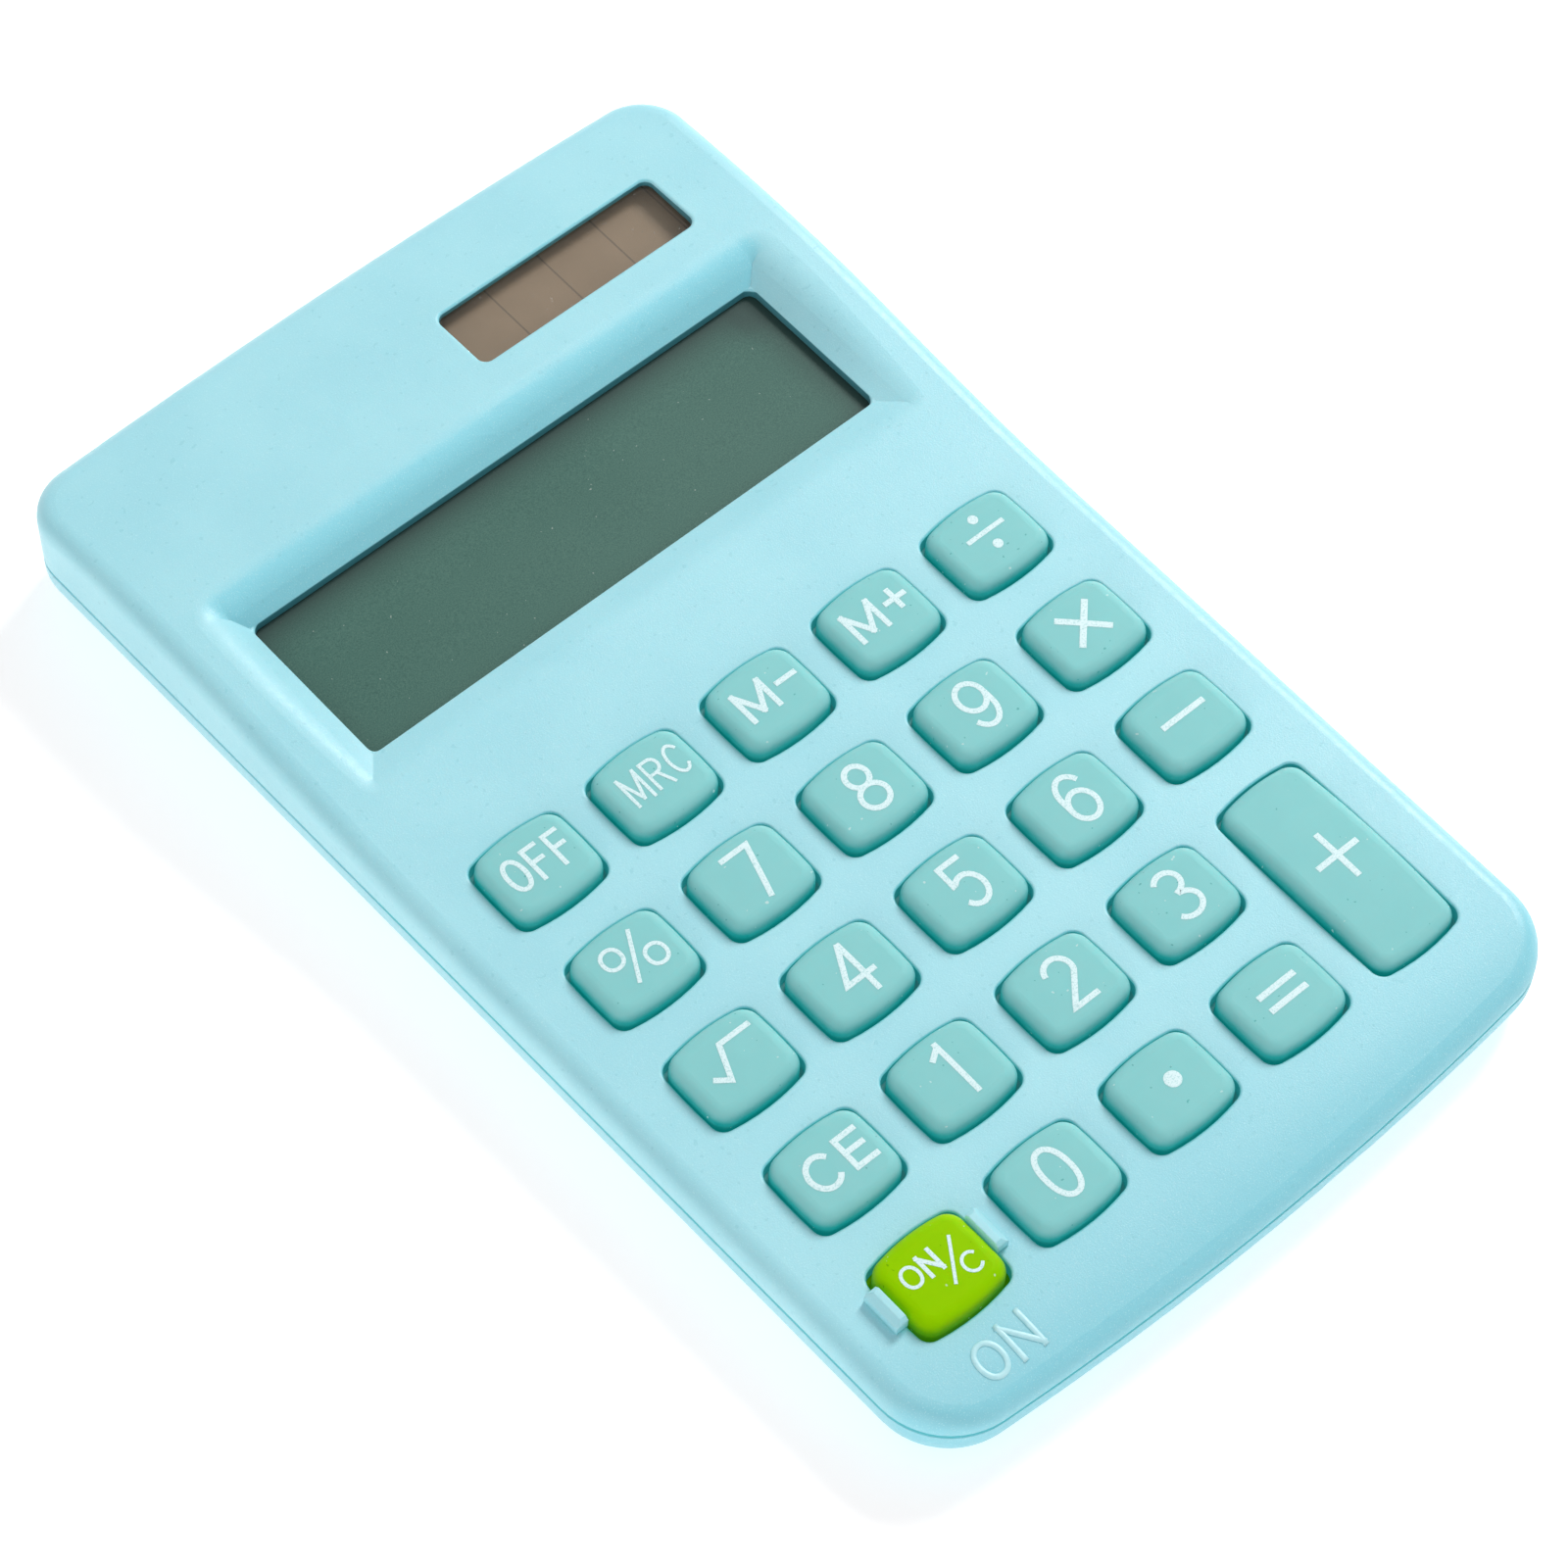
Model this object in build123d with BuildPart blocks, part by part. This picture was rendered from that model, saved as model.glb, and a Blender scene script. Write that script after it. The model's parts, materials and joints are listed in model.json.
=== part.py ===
"""Pocket electronic calculator: two shells, twenty-four silicone keys, display, solar cell and battery.

Frame: the origin is the centre of the flat underside, +X is to the right, +Y runs towards the
display end and +Z points up, out of the keys.  All sizes are in millimetres.
"""

from build123d import *
from math import cos, pi, radians, sin
import os

# ------------------------------------------------------------------ case
case_half_length = 58.0         # underside centre to the middle of either end
case_half_width_front = 34.3    # at the keypad end
case_half_width_head = 34.85    # at the display end
front_end_bow = 1.9             # how far the keypad end bulges
head_end_bow = 0.9              # how far the display end bulges
front_corner = 7.0              # plan corner radius at the keypad end
head_corner = 5.0               # plan corner radius at the display end
edge_round = 1.8                # rounding around the face
base_round = 3.6                # rounding around the underside
wall = 1.4                      # wall of both shells
floor_wall = 1.2                # floor of the rear shell
seam_height = 4.7               # parting plane above the underside
seam_groove = 0.22              # chamfer on each lip of the seam
tongue_gap = 0.1                # between the front shell's tongue and the rear shell's wall
tongue_width = 0.6
tongue_drop = 1.0               # below the seam
tongue_root = 1.1               # above the seam, where the tongue joins the wall
tongue_overlap = 0.2            # of the root with the wall

# ------------------------------------------------------------------ deck (the keypad face)
wedge_angle = 1.2               # the deck leans this many degrees against the underside
middle_key_y = -21.8            # where key 5 stands
deck_height = 7.85              # deck above the underside at key 5
roll_start = -29.5              # along the deck, where the face starts to roll down
roll_radius = 22.0
hump_start = 25.0               # along the deck, where the head starts to rise
hump_top = 60.0                 # along the deck, where it is highest
hump_height = 2.3
hump_fall = 0.0025              # drop per square millimetre beyond the highest line

# ------------------------------------------------------------------ keys
pitch_x = 12.2
pitch_y = 11.8
key_width = 9.0
key_depth = 8.0                 # of a single key, without its bowed edges' sagitta
key_bow = 0.55                  # sagitta of the front and back edges
key_side_bow = 0.12             # sagitta of the left and right edges
key_corner = 1.7
key_rise = 1.45                 # key top above the deck
key_crown = 75.0                # radius of the slightly domed top
crown_blank = 0.5               # height of the blank over the crown before it is cut
key_edge = 1.2                  # rounding of the top edge
key_stroke = 1.0                # how far a key travels
hole_gap = 0.2                  # between a key and its hole, all round
hole_corner = 1.2
hole_lip = 0.25                 # rounding of the hole's rim
flange_overhang = 0.7           # of the retaining flange beyond the key
flange_top = -1.5               # heights from here on are measured from the deck
flange_bottom = -2.1
boss_radius = 2.3
pill_radius = 1.6
pill_height = 0.23              # of the carbon pill under the boss
stop_gap = 0.05                 # left between flange and mat, and pill and pad, at full stroke
tall_key_depth = key_depth + pitch_y
guard_gap = 0.12                # between the ON key and the guards beside it
guard_width = 1.15
guard_length = 3.7
guard_height = 1.35
guard_slope = 0.55              # bevel along the outer side of a guard
guard_end_slope = 0.35          # bevels at its ends
guard_shift = 0.3               # the guards stand this much nearer the display than the key

# ------------------------------------------------------------------ key mat and circuit board
mat_top = flange_bottom - key_stroke - stop_gap
mat_thickness = 0.5
board_top = mat_top - mat_thickness
board_thickness = 0.8
board_bottom = board_top - board_thickness
pad_thickness = 0.05
pill_bottom = board_top + pad_thickness + key_stroke + stop_gap / 2
boss_bottom = pill_bottom + pill_height
pad_radius = 1.9
mat_half_width = 30.2
mat_front = -28.2
mat_back = 29.0
mat_corner = 1.5
mat_bore_radius = 2.7
board_half_width = 27.7
board_tongue_half_width = 24.6
board_front = -33.2
board_back = 35.9

# ------------------------------------------------------------------ display
window_half_width = 27.4
window_front = 40.75            # along the deck
window_back = 56.8
window_corner = 0.9
window_rim = -0.1               # height of the rim
window_trim = 0.05              # the opening is this much smaller than the recess's foot, all round
side_slope = 2.3                # width of the sloping recess beside the window
front_slope = 2.85
back_slope = 2.2
recess_reach = 1.6              # the slopes are carried on to this many times their width
recess_round = 4.0              # rounding where the recess meets the head
window_lip = 0.3                # rounding of the window's rim
display_wall = 0.95             # depth of the window's wall below the deck
polariser_thickness = 0.2
glass_thickness = 0.9           # of each of the panel's two glass plates
glass_margin = 1.3              # of the front glass beyond the window
glass_ledge = 1.2               # contact ledge of the rear glass, towards the keys
polariser_margin = 0.3          # of the glass beyond the polarising sheets
frame_margin = 3.2              # of the frame beyond the window, sideways
frame_gap = 0.15                # between the frame and the panel
frame_floor = 0.6
frame_side = 0.75               # its front and back walls
frame_opening_side = 4.0        # from the glass's sides to the opening in the frame's floor
frame_opening_end = 3.0         # from the glass's ends to that opening
ribbon_thickness = 0.12
ribbon_half_width = 21.0
ribbon_gap = 0.01               # between the ribbon and what it lies on
ribbon_slot = 0.5               # room beside the ribbon in the frame's wall
ribbon_overlap = 2.0            # of the ribbon with the circuit board

# ------------------------------------------------------------------ solar cell
solar_left = 3.5
solar_right = 27.2
solar_front = 63.8              # along the deck
solar_back = 70.4
solar_corner = 0.9
solar_wall = 0.8                # depth of the opening's wall
solar_margin = 1.3              # of the glass beyond the opening
solar_glass_thickness = 1.1
solar_film_thickness = 0.3
solar_film_gap = 0.03           # between the film and its glass
solar_film_margin = 0.2         # of the glass beyond the film
solar_gap = 0.15                # round the glass in its pocket

# ------------------------------------------------------------------ battery
battery_x = -14.0
battery_y = 46.4
battery_radius = 5.8
battery_height = 3.05
battery_bottom = 1.25
battery_crimp = 0.35            # step between the can and the raised cap
battery_crimp_width = 0.9
cover_length = 17.2
cover_width = 15.0
cover_thickness = 1.05
cover_corner = 0.8
cover_gap = 0.15
cover_screw_x = 6.6             # from the cover's middle
cover_screw_y = -5.3
cover_hole_gap = 0.15           # round the screw and its head
ridge_count = 4                 # finger ridges, cut as grooves
ridge_pitch = 1.2
ridge_length = 6.0
ridge_width = 0.6
ridge_depth = 0.25
ridge_inset = 3.0               # from the cover's end to the middle of the ridges
tab_half_width = 2.0
tab_reach = 0.9                 # tab that hooks the cover under the floor
tab_overlap = 0.2               # of the tab with the cover
tab_bottom = 0.6
well_margin = 1.1
well_top = 6.0
well_ceiling = 4.95
well_bore = 6.1
contact_thickness = 0.2
contact_width = 4.0
contact_slot = 4.4
contact_rise = 0.9              # of either contact above the well
positive_slot = battery_radius + 1.1    # from the battery's middle to the positive contact's back
positive_slot_shift = 0.3       # from there to the middle of the contact's slot
positive_slot_depth = 1.4
positive_spring = 0.17          # from the battery's side to the bent contact's middle
negative_slot = 5.1             # from the battery's middle to the negative contact's tab
negative_slot_width = 0.7
negative_spring = 0.12          # from the battery's cap to the bent contact's middle
negative_drop = 0.2             # of the contact under the well's ceiling

# ------------------------------------------------------------------ screws and wires
case_screw_places = [
    (-27.6, -52.5), (27.6, -52.5),
    (-30.2, 11.0), (30.2, 11.0),
    (-28.6, 52.4), (28.6, 52.4),
]
boss_outer = 2.0
floor_boss_outer = 2.3
floor_boss_top = 2.6
boss_gap = 0.1                  # between the two shells' bosses
screw_core = 0.8
screw_clearance = 1.05          # radius of the holes the screws pass through
pilot_gap = 0.05
screw_head_radius = 1.6
screw_head_height = 1.0
screw_head_round = 0.3
head_gap = 0.25                 # round a screw head in its counterbore
screw_seat = 1.4                # height of the head's seat above the underside
screw_top = 4.9
cross_width = 0.45              # cross recess of the screw heads
cross_length = 1.92
cross_depth = 0.5
board_screw_places = [(-17.0, 31.0), (17.0, 31.0), (-12.0, -31.3), (12.0, -31.3)]
board_boss_outer = 1.5
board_screw_core = 0.5
board_screw_head = 1.2
board_screw_head_height = 0.7
board_screw_head_round = 0.2
board_screw_gap = 0.15          # round the screw in the board
board_screw_top = -2.2
cover_screw_core = 0.6
cover_screw_head = 1.35
cover_screw_bottom = 0.1
cover_screw_top = 4.0
cover_cross_width = 0.35
cover_cross_length = 1.6
cover_cross_depth = 0.4
wire_radius = 0.4

# ------------------------------------------------------------------ parts on the circuit board
chip_place = (4.0, 27.0)
chip_radius = 4.2
chip_height = 1.0
capacitor_place = (-9.5, 29.0)
capacitor_radius = 1.0
capacitor_length = 5.0
capacitor_round = 0.2
resistor_place = (13.0, 27.5)
resistor_radius = 0.7
resistor_length = 3.4
resistor_cap = 0.8              # end caps, thicker than the waist
resistor_shoulder = 0.2
resistor_waist = 0.15           # how much thinner the waist is

# The deck leans about the X axis; its own x and y run across and along the keypad.
lean = radians(wedge_angle)
deck = Plane(origin=(0, middle_key_y, deck_height), x_dir=(1, 0, 0), z_dir=(0, -sin(lean), cos(lean)))
deck_axis = Axis(deck.origin, deck.z_dir)
# Side view of the case: x along the deck, y along the deck's normal.
side_view = Plane(origin=deck.origin, x_dir=deck.y_dir, z_dir=(1, 0, 0))

# Every key by its column and row on the grid, counted from the middle key.
single_keys = {
    "key_off": (-2, 2), "key_mrc": (-1, 2), "key_memory_minus": (0, 2),
    "key_memory_plus": (1, 2), "key_divide": (2, 2),
    "key_percent": (-2, 1), "key_7": (-1, 1), "key_8": (0, 1), "key_9": (1, 1), "key_times": (2, 1),
    "key_root": (-2, 0), "key_4": (-1, 0), "key_5": (0, 0), "key_6": (1, 0), "key_minus": (2, 0),
    "key_ce": (-2, -1), "key_1": (-1, -1), "key_2": (0, -1), "key_3": (1, -1),
    "key_on_clear": (-2, -2), "key_0": (-1, -2), "key_point": (0, -2), "key_equals": (1, -2),
}
key_places = {name: (column * pitch_x, row * pitch_y) for name, (column, row) in single_keys.items()}
plus_place = (2 * pitch_x, -1.5 * pitch_y)


def finish(builder, label):
    """Name a finished piece and write it out."""
    builder.part.label = label
    export_step(builder.part, f"parts/{label}.step")


def hump(along):
    """Height of the head's surface over the deck."""
    if along < hump_top:
        return hump_height * (1 - cos(pi * (along - hump_start) / (hump_top - hump_start))) / 2
    return hump_height - hump_fall * (along - hump_top) ** 2


def case_outline(inset):
    """Plan outline of the case, a tapered rectangle with bowed ends, moved inwards."""
    front = -case_half_length + front_end_bow
    head = case_half_length - head_end_bow
    with BuildSketch() as outline:
        with BuildLine():
            ThreePointArc(
                (-case_half_width_front, front), (0, -case_half_length), (case_half_width_front, front)
            )
            Line((case_half_width_front, front), (case_half_width_head, head))
            ThreePointArc(
                (case_half_width_head, head), (0, case_half_length), (-case_half_width_head, head)
            )
            Line((-case_half_width_head, head), (-case_half_width_front, front))
        make_face()
        corners = outline.vertices().group_by(Axis.Y)
        fillet(corners[0], front_corner)
        fillet(outline.vertices().group_by(Axis.Y)[-1], head_corner)
        if inset:
            offset(amount=-inset)
    return outline.sketch


def case_form(inset, floor, face_round):
    """The closed case as one solid, shrunk by the inset and standing on the given floor."""
    spread = case_half_width_head + 1
    ends = case_half_length + 10
    with BuildPart() as form:
        with BuildSketch(Plane.XY.offset(floor)):
            add(case_outline(inset))
        extrude(amount=deck_height * 2)
        with BuildSketch(side_view):
            with BuildLine():
                roll = CenterArc((roll_start, -roll_radius - inset), roll_radius, 90, 28)
                Line((roll_start, -inset), (hump_start, -inset))
                rise = [hump_start + step * (hump_top - hump_start) / 7 for step in range(8)]
                fall = [hump_top + 8, hump_top + 16, hump_top + 24]
                head = Spline(
                    *[(along, hump(along) - inset) for along in rise + fall],
                    tangents=((1, 0), (1, -2 * hump_fall * 24)),
                )
                Polyline(head @ 1, (ends, -ends), (-ends, -ends), roll @ 1)
            make_face()
        extrude(amount=spread, both=True, mode=Mode.INTERSECT)
        if face_round:
            around_face = form.edges().filter_by(lambda edge: edge.center().Z > floor + 1)
            around_face = around_face.filter_by(Axis.X, reverse=True).filter_by(Axis.Z, reverse=True)
            fillet(in_order(around_face), face_round)
        fillet(in_order(form.faces().sort_by(Axis.Z)[0].edges()), base_round - floor)
    return form.part


def pillow(width, depth, corner):
    """Plan shape of a key: a rounded rectangle with bowed edges."""
    x = width / 2 - key_side_bow
    y = depth / 2 - key_bow
    with BuildSketch() as shape:
        with BuildLine():
            ThreePointArc((-x, y), (0, depth / 2), (x, y))
            ThreePointArc((x, y), (width / 2, 0), (x, -y))
            ThreePointArc((x, -y), (0, -depth / 2), (-x, -y))
            ThreePointArc((-x, -y), (-width / 2, 0), (-x, y))
        make_face()
        fillet(shape.vertices(), corner)
    return shape.sketch


def ring(outer_inset, inner_inset):
    """Plan ring between two inset outlines of the case."""
    with BuildSketch() as band:
        add(case_outline(outer_inset))
        add(case_outline(inner_inset), mode=Mode.SUBTRACT)
    return band.sketch


def all_key_shapes(grow, corner):
    """Plan shapes of all the keys at once, grown all round, for cutting their holes."""
    with BuildSketch() as shapes:
        with Locations(*key_places.values()):
            add(pillow(key_width + 2 * grow, key_depth + 2 * grow, corner))
        with Locations(plus_place):
            add(pillow(key_width + 2 * grow, tall_key_depth + 2 * grow, corner))
    return shapes.sketch


def in_order(edges):
    """The edges in a fixed order, so that every build gives the same solid."""
    return ShapeList(sorted(edges, key=lambda edge: [round(value, 3) for value in edge.center()]))


def face_height(along):
    """Height of the case's face over the deck, anywhere along it."""
    if along < roll_start:
        return (roll_radius**2 - (along - roll_start) ** 2) ** 0.5 - roll_radius
    if along < hump_start:
        return 0
    return hump(along)


def mid_wall_height(y):
    """Height over the underside of the middle of the front shell's wall."""
    along = (y - middle_key_y) / cos(lean)
    return deck_height + along * sin(lean) + face_height(along) - wall / 2


def is_recess_brow(edge):
    """True for the edges where the display recess meets the face of the head."""
    middle = deck.to_local_coords(edge.center())
    beside = abs(middle.X) > window_half_width + 0.8 * side_slope
    before = middle.Y < window_front - 0.8 * front_slope
    return beside or before or middle.Y > window_back + 0.8 * back_slope


def is_window_rim(edge):
    """True for the upper edges of the display opening."""
    middle = deck.to_local_coords(edge.center())
    return abs(middle.Z - window_rim) < 0.05


def is_solar_rim(edge):
    """True for the upper edges of the solar cell's opening."""
    middle = deck.to_local_coords(edge.center())
    return middle.Z > hump_height - 0.5 and middle.Y > solar_front - 1


def is_guard_crest(face, side):
    """True for the flat top of the guard on the given side of the ON key."""
    middle = deck.to_local_coords(face.center())
    return abs(middle.Z - guard_height) < 0.01 and (middle.X - on_clear_x) * side > 0


def is_deck_rim(edge):
    """True for the upper edges of the key holes."""
    middle = deck.to_local_coords(edge.center())
    return abs(middle.Z) < 0.15 and middle.Y < mat_back + 1 and edge.length < 2 * pitch_y


os.makedirs("parts", exist_ok=True)
outer_form = case_form(0, 0, edge_round)
inner_form = case_form(wall, floor_wall, 0)
seam = Plane.XY.offset(seam_height)

# Hollow of the case: the inner form, less the thick frame around the display, plus a pocket
# for the solar cell's glass.
window_width = 2 * window_half_width
window_depth = window_back - window_front
window_middle = (window_back + window_front) / 2
solar_place = ((solar_left + solar_right) / 2, (solar_front + solar_back) / 2)
solar_width = solar_right - solar_left
solar_depth = solar_back - solar_front
solar_ceiling = hump(solar_place[1]) - solar_wall
solar_pocket_width = solar_width + 2 * (solar_margin + solar_gap)
solar_pocket_depth = solar_depth + 2 * (solar_margin + solar_gap)
frame_width = window_width + 2 * frame_margin
frame_depth = window_depth + 2 * frame_margin
head_clearance = 8.0            # taller than anything above the deck

with BuildPart() as hollow:
    add(inner_form)
    with BuildSketch(deck.offset(-display_wall)):
        with Locations((0, window_middle)):
            Rectangle(frame_width, frame_depth)
    extrude(amount=head_clearance, mode=Mode.SUBTRACT)
    with BuildSketch(deck.offset(solar_ceiling)):
        with Locations(solar_place):
            Rectangle(solar_pocket_width, solar_pocket_depth)
    extrude(amount=-wall)

# Sloping recess around the display: its outer rectangle lies on the rising head, and the
# slopes are carried on past the surface so that they cut it cleanly.
slope_rise_front = recess_reach * (hump(window_front - front_slope) - window_rim)
slope_rise_back = recess_reach * (hump(window_back + back_slope) - window_rim)
outer_front = window_front - recess_reach * front_slope
outer_back = window_back + recess_reach * back_slope
outer_run = outer_back - outer_front
outer_climb = slope_rise_back - slope_rise_front
outer_height = window_rim + (slope_rise_front + slope_rise_back) / 2
outer_middle = Vector(0, (outer_front + outer_back) / 2, outer_height)
recess_top = Plane(
    origin=deck.from_local_coords(outer_middle),
    x_dir=(1, 0, 0),
    z_dir=deck.z_dir * outer_run - deck.y_dir * outer_climb,
)
with BuildPart() as recess:
    with BuildSketch(deck.offset(window_rim)):
        with Locations((0, window_middle)):
            Rectangle(window_width, window_depth)
    with BuildSketch(recess_top):
        Rectangle(window_width + 2 * recess_reach * side_slope, (outer_run**2 + outer_climb**2) ** 0.5)
    loft(ruled=True)

# ------------------------------------------------------------------ front shell
front_boss_foot = Plane.XY.offset(floor_boss_top + boss_gap)
guard_x = key_width / 2 + guard_gap + guard_width / 2
on_clear_x, on_clear_y = key_places["key_on_clear"]

with BuildPart() as front_shell:
    add(outer_form)
    add(recess.part, mode=Mode.SUBTRACT)
    fillet(in_order(front_shell.edges(Select.LAST).filter_by(is_recess_brow)), recess_round)
    split(bisect_by=seam, keep=Keep.TOP)
    chamfer(in_order(front_shell.faces().sort_by(Axis.Z)[0].outer_wire().edges()), seam_groove)
    add(hollow.part, mode=Mode.SUBTRACT)

    # Openings for the keys, the display and the solar cell.
    with BuildSketch(deck.offset(head_clearance)):
        add(all_key_shapes(hole_gap, hole_corner))
    extrude(amount=-head_clearance - deck_height, mode=Mode.SUBTRACT)
    fillet(in_order(front_shell.edges(Select.LAST).filter_by(is_deck_rim)), hole_lip)
    with BuildSketch(deck.offset(head_clearance)):
        with Locations((0, window_middle)):
            RectangleRounded(window_width - 2 * window_trim, window_depth - 2 * window_trim, window_corner)
    extrude(amount=-head_clearance - deck_height, mode=Mode.SUBTRACT)
    fillet(in_order(front_shell.edges(Select.LAST).filter_by(is_window_rim)), window_lip)
    with BuildSketch(deck.offset(head_clearance)):
        with Locations(solar_place):
            RectangleRounded(solar_width, solar_depth, solar_corner)
    extrude(amount=-head_clearance - deck_height, mode=Mode.SUBTRACT)
    fillet(in_order(front_shell.edges(Select.LAST).filter_by(is_solar_rim)), window_lip)

    # Guards that stop the ON key from being pressed by accident.
    for side in (-1, 1):
        with BuildSketch(deck.offset(-wall / 2)):
            with Locations((on_clear_x + side * guard_x, on_clear_y + guard_shift)):
                Rectangle(guard_width, guard_length)
        extrude(amount=wall / 2 + guard_height)
        for end in (0, -1):
            crest = front_shell.faces().filter_by(lambda face: is_guard_crest(face, side))
            chamfer(crest.edges().sort_by(Axis.Y)[end], guard_end_slope)
        crest = front_shell.faces().filter_by(lambda face: is_guard_crest(face, side))
        chamfer(crest.edges().sort_by(Axis.X)[0 if side < 0 else -1], guard_slope)

    # Tongue that drops inside the rear shell's wall.
    with BuildSketch(seam):
        add(ring(wall - tongue_overlap, wall + tongue_gap + tongue_width))
    extrude(amount=tongue_root)
    with BuildSketch(seam):
        add(ring(wall + tongue_gap, wall + tongue_gap + tongue_width))
    extrude(amount=-tongue_drop)

    # Bosses for the case screws and for the board screws, with their pilot holes.
    for x, y in case_screw_places:
        with BuildSketch(front_boss_foot):
            with Locations((x, y)):
                Circle(boss_outer)
        extrude(amount=mid_wall_height(y) - front_boss_foot.origin.Z)
    with BuildSketch(front_boss_foot):
        with Locations(*case_screw_places):
            Circle(screw_core + pilot_gap)
    extrude(amount=screw_top + pilot_gap - front_boss_foot.origin.Z, mode=Mode.SUBTRACT)
    for x, along in board_screw_places:
        with BuildSketch(deck.offset(board_top)):
            with Locations((x, along)):
                Circle(board_boss_outer)
        extrude(amount=face_height(along) - wall / 2 - board_top)
    with BuildSketch(deck.offset(board_top)):
        with Locations(*board_screw_places):
            Circle(board_screw_core + pilot_gap)
    extrude(amount=board_screw_top + pilot_gap - board_top, mode=Mode.SUBTRACT)
finish(front_shell, "front_shell")

# ------------------------------------------------------------------ rear shell
battery_place = (battery_x, battery_y)
cover_screw_place = (battery_x + cover_screw_x, battery_y + cover_screw_y)
well_length = cover_length + 2 * (cover_gap + well_margin)
well_width = cover_width + 2 * (cover_gap + well_margin)
screw_hole_places = [Location((x, y, 0), (180, 0, 0)) for x, y in case_screw_places]

with BuildPart() as rear_shell:
    add(outer_form)
    split(bisect_by=seam, keep=Keep.BOTTOM)
    with BuildSketch(seam):
        add(ring(-1, seam_groove))
    extrude(amount=-seam_groove, mode=Mode.SUBTRACT)
    add(inner_form, mode=Mode.SUBTRACT)
    with BuildSketch(Plane.XY.offset(floor_wall / 2)):
        with Locations(*case_screw_places):
            Circle(floor_boss_outer)
    extrude(amount=floor_boss_top - floor_wall / 2)
    with BuildSketch(Plane.XY.offset(floor_wall / 2)):
        with Locations(battery_place):
            Rectangle(well_length, well_width)
    extrude(amount=well_top - floor_wall / 2)
    with Locations(*screw_hole_places):
        CounterBoreHole(screw_clearance, screw_head_radius + head_gap, screw_seat, floor_boss_top + 1)

    # Battery well: the cover's recess, the round bore and the slots for the two contacts.
    with BuildSketch():
        with Locations(battery_place):
            Rectangle(cover_length + 2 * cover_gap, cover_width + 2 * cover_gap)
    extrude(amount=floor_wall, mode=Mode.SUBTRACT)
    with BuildSketch(Plane.XY.offset(floor_wall)):
        with Locations(battery_place):
            Circle(well_bore)
    extrude(amount=well_ceiling - floor_wall, mode=Mode.SUBTRACT)
    with BuildSketch(Plane.XY.offset(floor_wall)):
        with Locations((battery_x, battery_y + positive_slot - positive_slot_shift)):
            Rectangle(contact_slot, positive_slot_depth)
    extrude(amount=well_top, mode=Mode.SUBTRACT)
    with BuildSketch(Plane.XY.offset(well_ceiling)):
        with Locations((battery_x + negative_slot, battery_y)):
            Rectangle(negative_slot_width, contact_slot)
    extrude(amount=well_top, mode=Mode.SUBTRACT)
    with BuildSketch(Plane.XY.offset(floor_wall)):
        with Locations(cover_screw_place):
            Circle(cover_screw_core + pilot_gap)
    extrude(amount=cover_screw_top + pilot_gap - floor_wall, mode=Mode.SUBTRACT)
    with BuildSketch(Plane.XY.offset(tab_bottom - pilot_gap)):
        with Locations((battery_x - cover_length / 2 - tab_reach / 2, battery_y)):
            Rectangle(tab_reach + 2 * cover_gap, 2 * (tab_half_width + cover_gap))
    extrude(amount=floor_wall - tab_bottom + pilot_gap, mode=Mode.SUBTRACT)
finish(rear_shell, "rear_shell")

with BuildPart() as battery_cover:
    with BuildSketch():
        with Locations(battery_place):
            RectangleRounded(cover_length, cover_width, cover_corner)
    extrude(amount=cover_thickness)
    with BuildSketch(Plane.XY.offset(tab_bottom)):
        with Locations((battery_x - (cover_length + tab_reach - tab_overlap) / 2, battery_y)):
            Rectangle(tab_reach + tab_overlap, 2 * tab_half_width)
    extrude(amount=cover_thickness - tab_bottom)
    with Locations(Location((*cover_screw_place, 0), (180, 0, 0))):
        CounterSinkHole(
            cover_screw_core + cover_hole_gap, cover_screw_head + cover_hole_gap, cover_thickness + 1
        )
    # Finger ridges.
    with BuildSketch():
        with Locations((battery_x - cover_length / 2 + ridge_inset, battery_y)):
            with GridLocations(ridge_pitch, 0, ridge_count, 1):
                SlotOverall(ridge_length, ridge_width, rotation=90)
    extrude(amount=ridge_depth, mode=Mode.SUBTRACT)
finish(battery_cover, "battery_cover")

# ------------------------------------------------------------------ screws
with BuildPart() as case_screws:
    with BuildSketch(Plane.XY.offset(screw_seat - screw_head_height)):
        with Locations(*case_screw_places):
            Circle(screw_head_radius)
    extrude(amount=screw_head_height)
    fillet(case_screws.edges().group_by(Axis.Z)[0], screw_head_round)
    with BuildSketch(Plane.XY.offset(screw_seat)):
        with Locations(*case_screw_places):
            Circle(screw_core)
    extrude(amount=screw_top - screw_seat)
    with BuildSketch(Plane.XY.offset(screw_seat - screw_head_height)):
        with Locations(*case_screw_places):
            Rectangle(cross_length, cross_width)
            Rectangle(cross_width, cross_length)
    extrude(amount=cross_depth, mode=Mode.SUBTRACT)
finish(case_screws, "case_screws")

cover_screw_neck = cover_screw_bottom + cover_screw_head - cover_screw_core
with BuildPart() as battery_cover_screw:
    with BuildSketch(Plane.XY.offset(cover_screw_bottom)):
        with Locations(cover_screw_place):
            Circle(cover_screw_head)
    with BuildSketch(Plane.XY.offset(cover_screw_neck)):
        with Locations(cover_screw_place):
            Circle(cover_screw_core)
    loft()
    with BuildSketch(Plane.XY.offset(cover_screw_neck)):
        with Locations(cover_screw_place):
            Circle(cover_screw_core)
    extrude(amount=cover_screw_top - cover_screw_neck)
    with BuildSketch(Plane.XY.offset(cover_screw_bottom)):
        with Locations(cover_screw_place):
            Rectangle(cover_cross_length, cover_cross_width)
            Rectangle(cover_cross_width, cover_cross_length)
    extrude(amount=cover_cross_depth, mode=Mode.SUBTRACT)
finish(battery_cover_screw, "battery_cover_screw")

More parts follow.
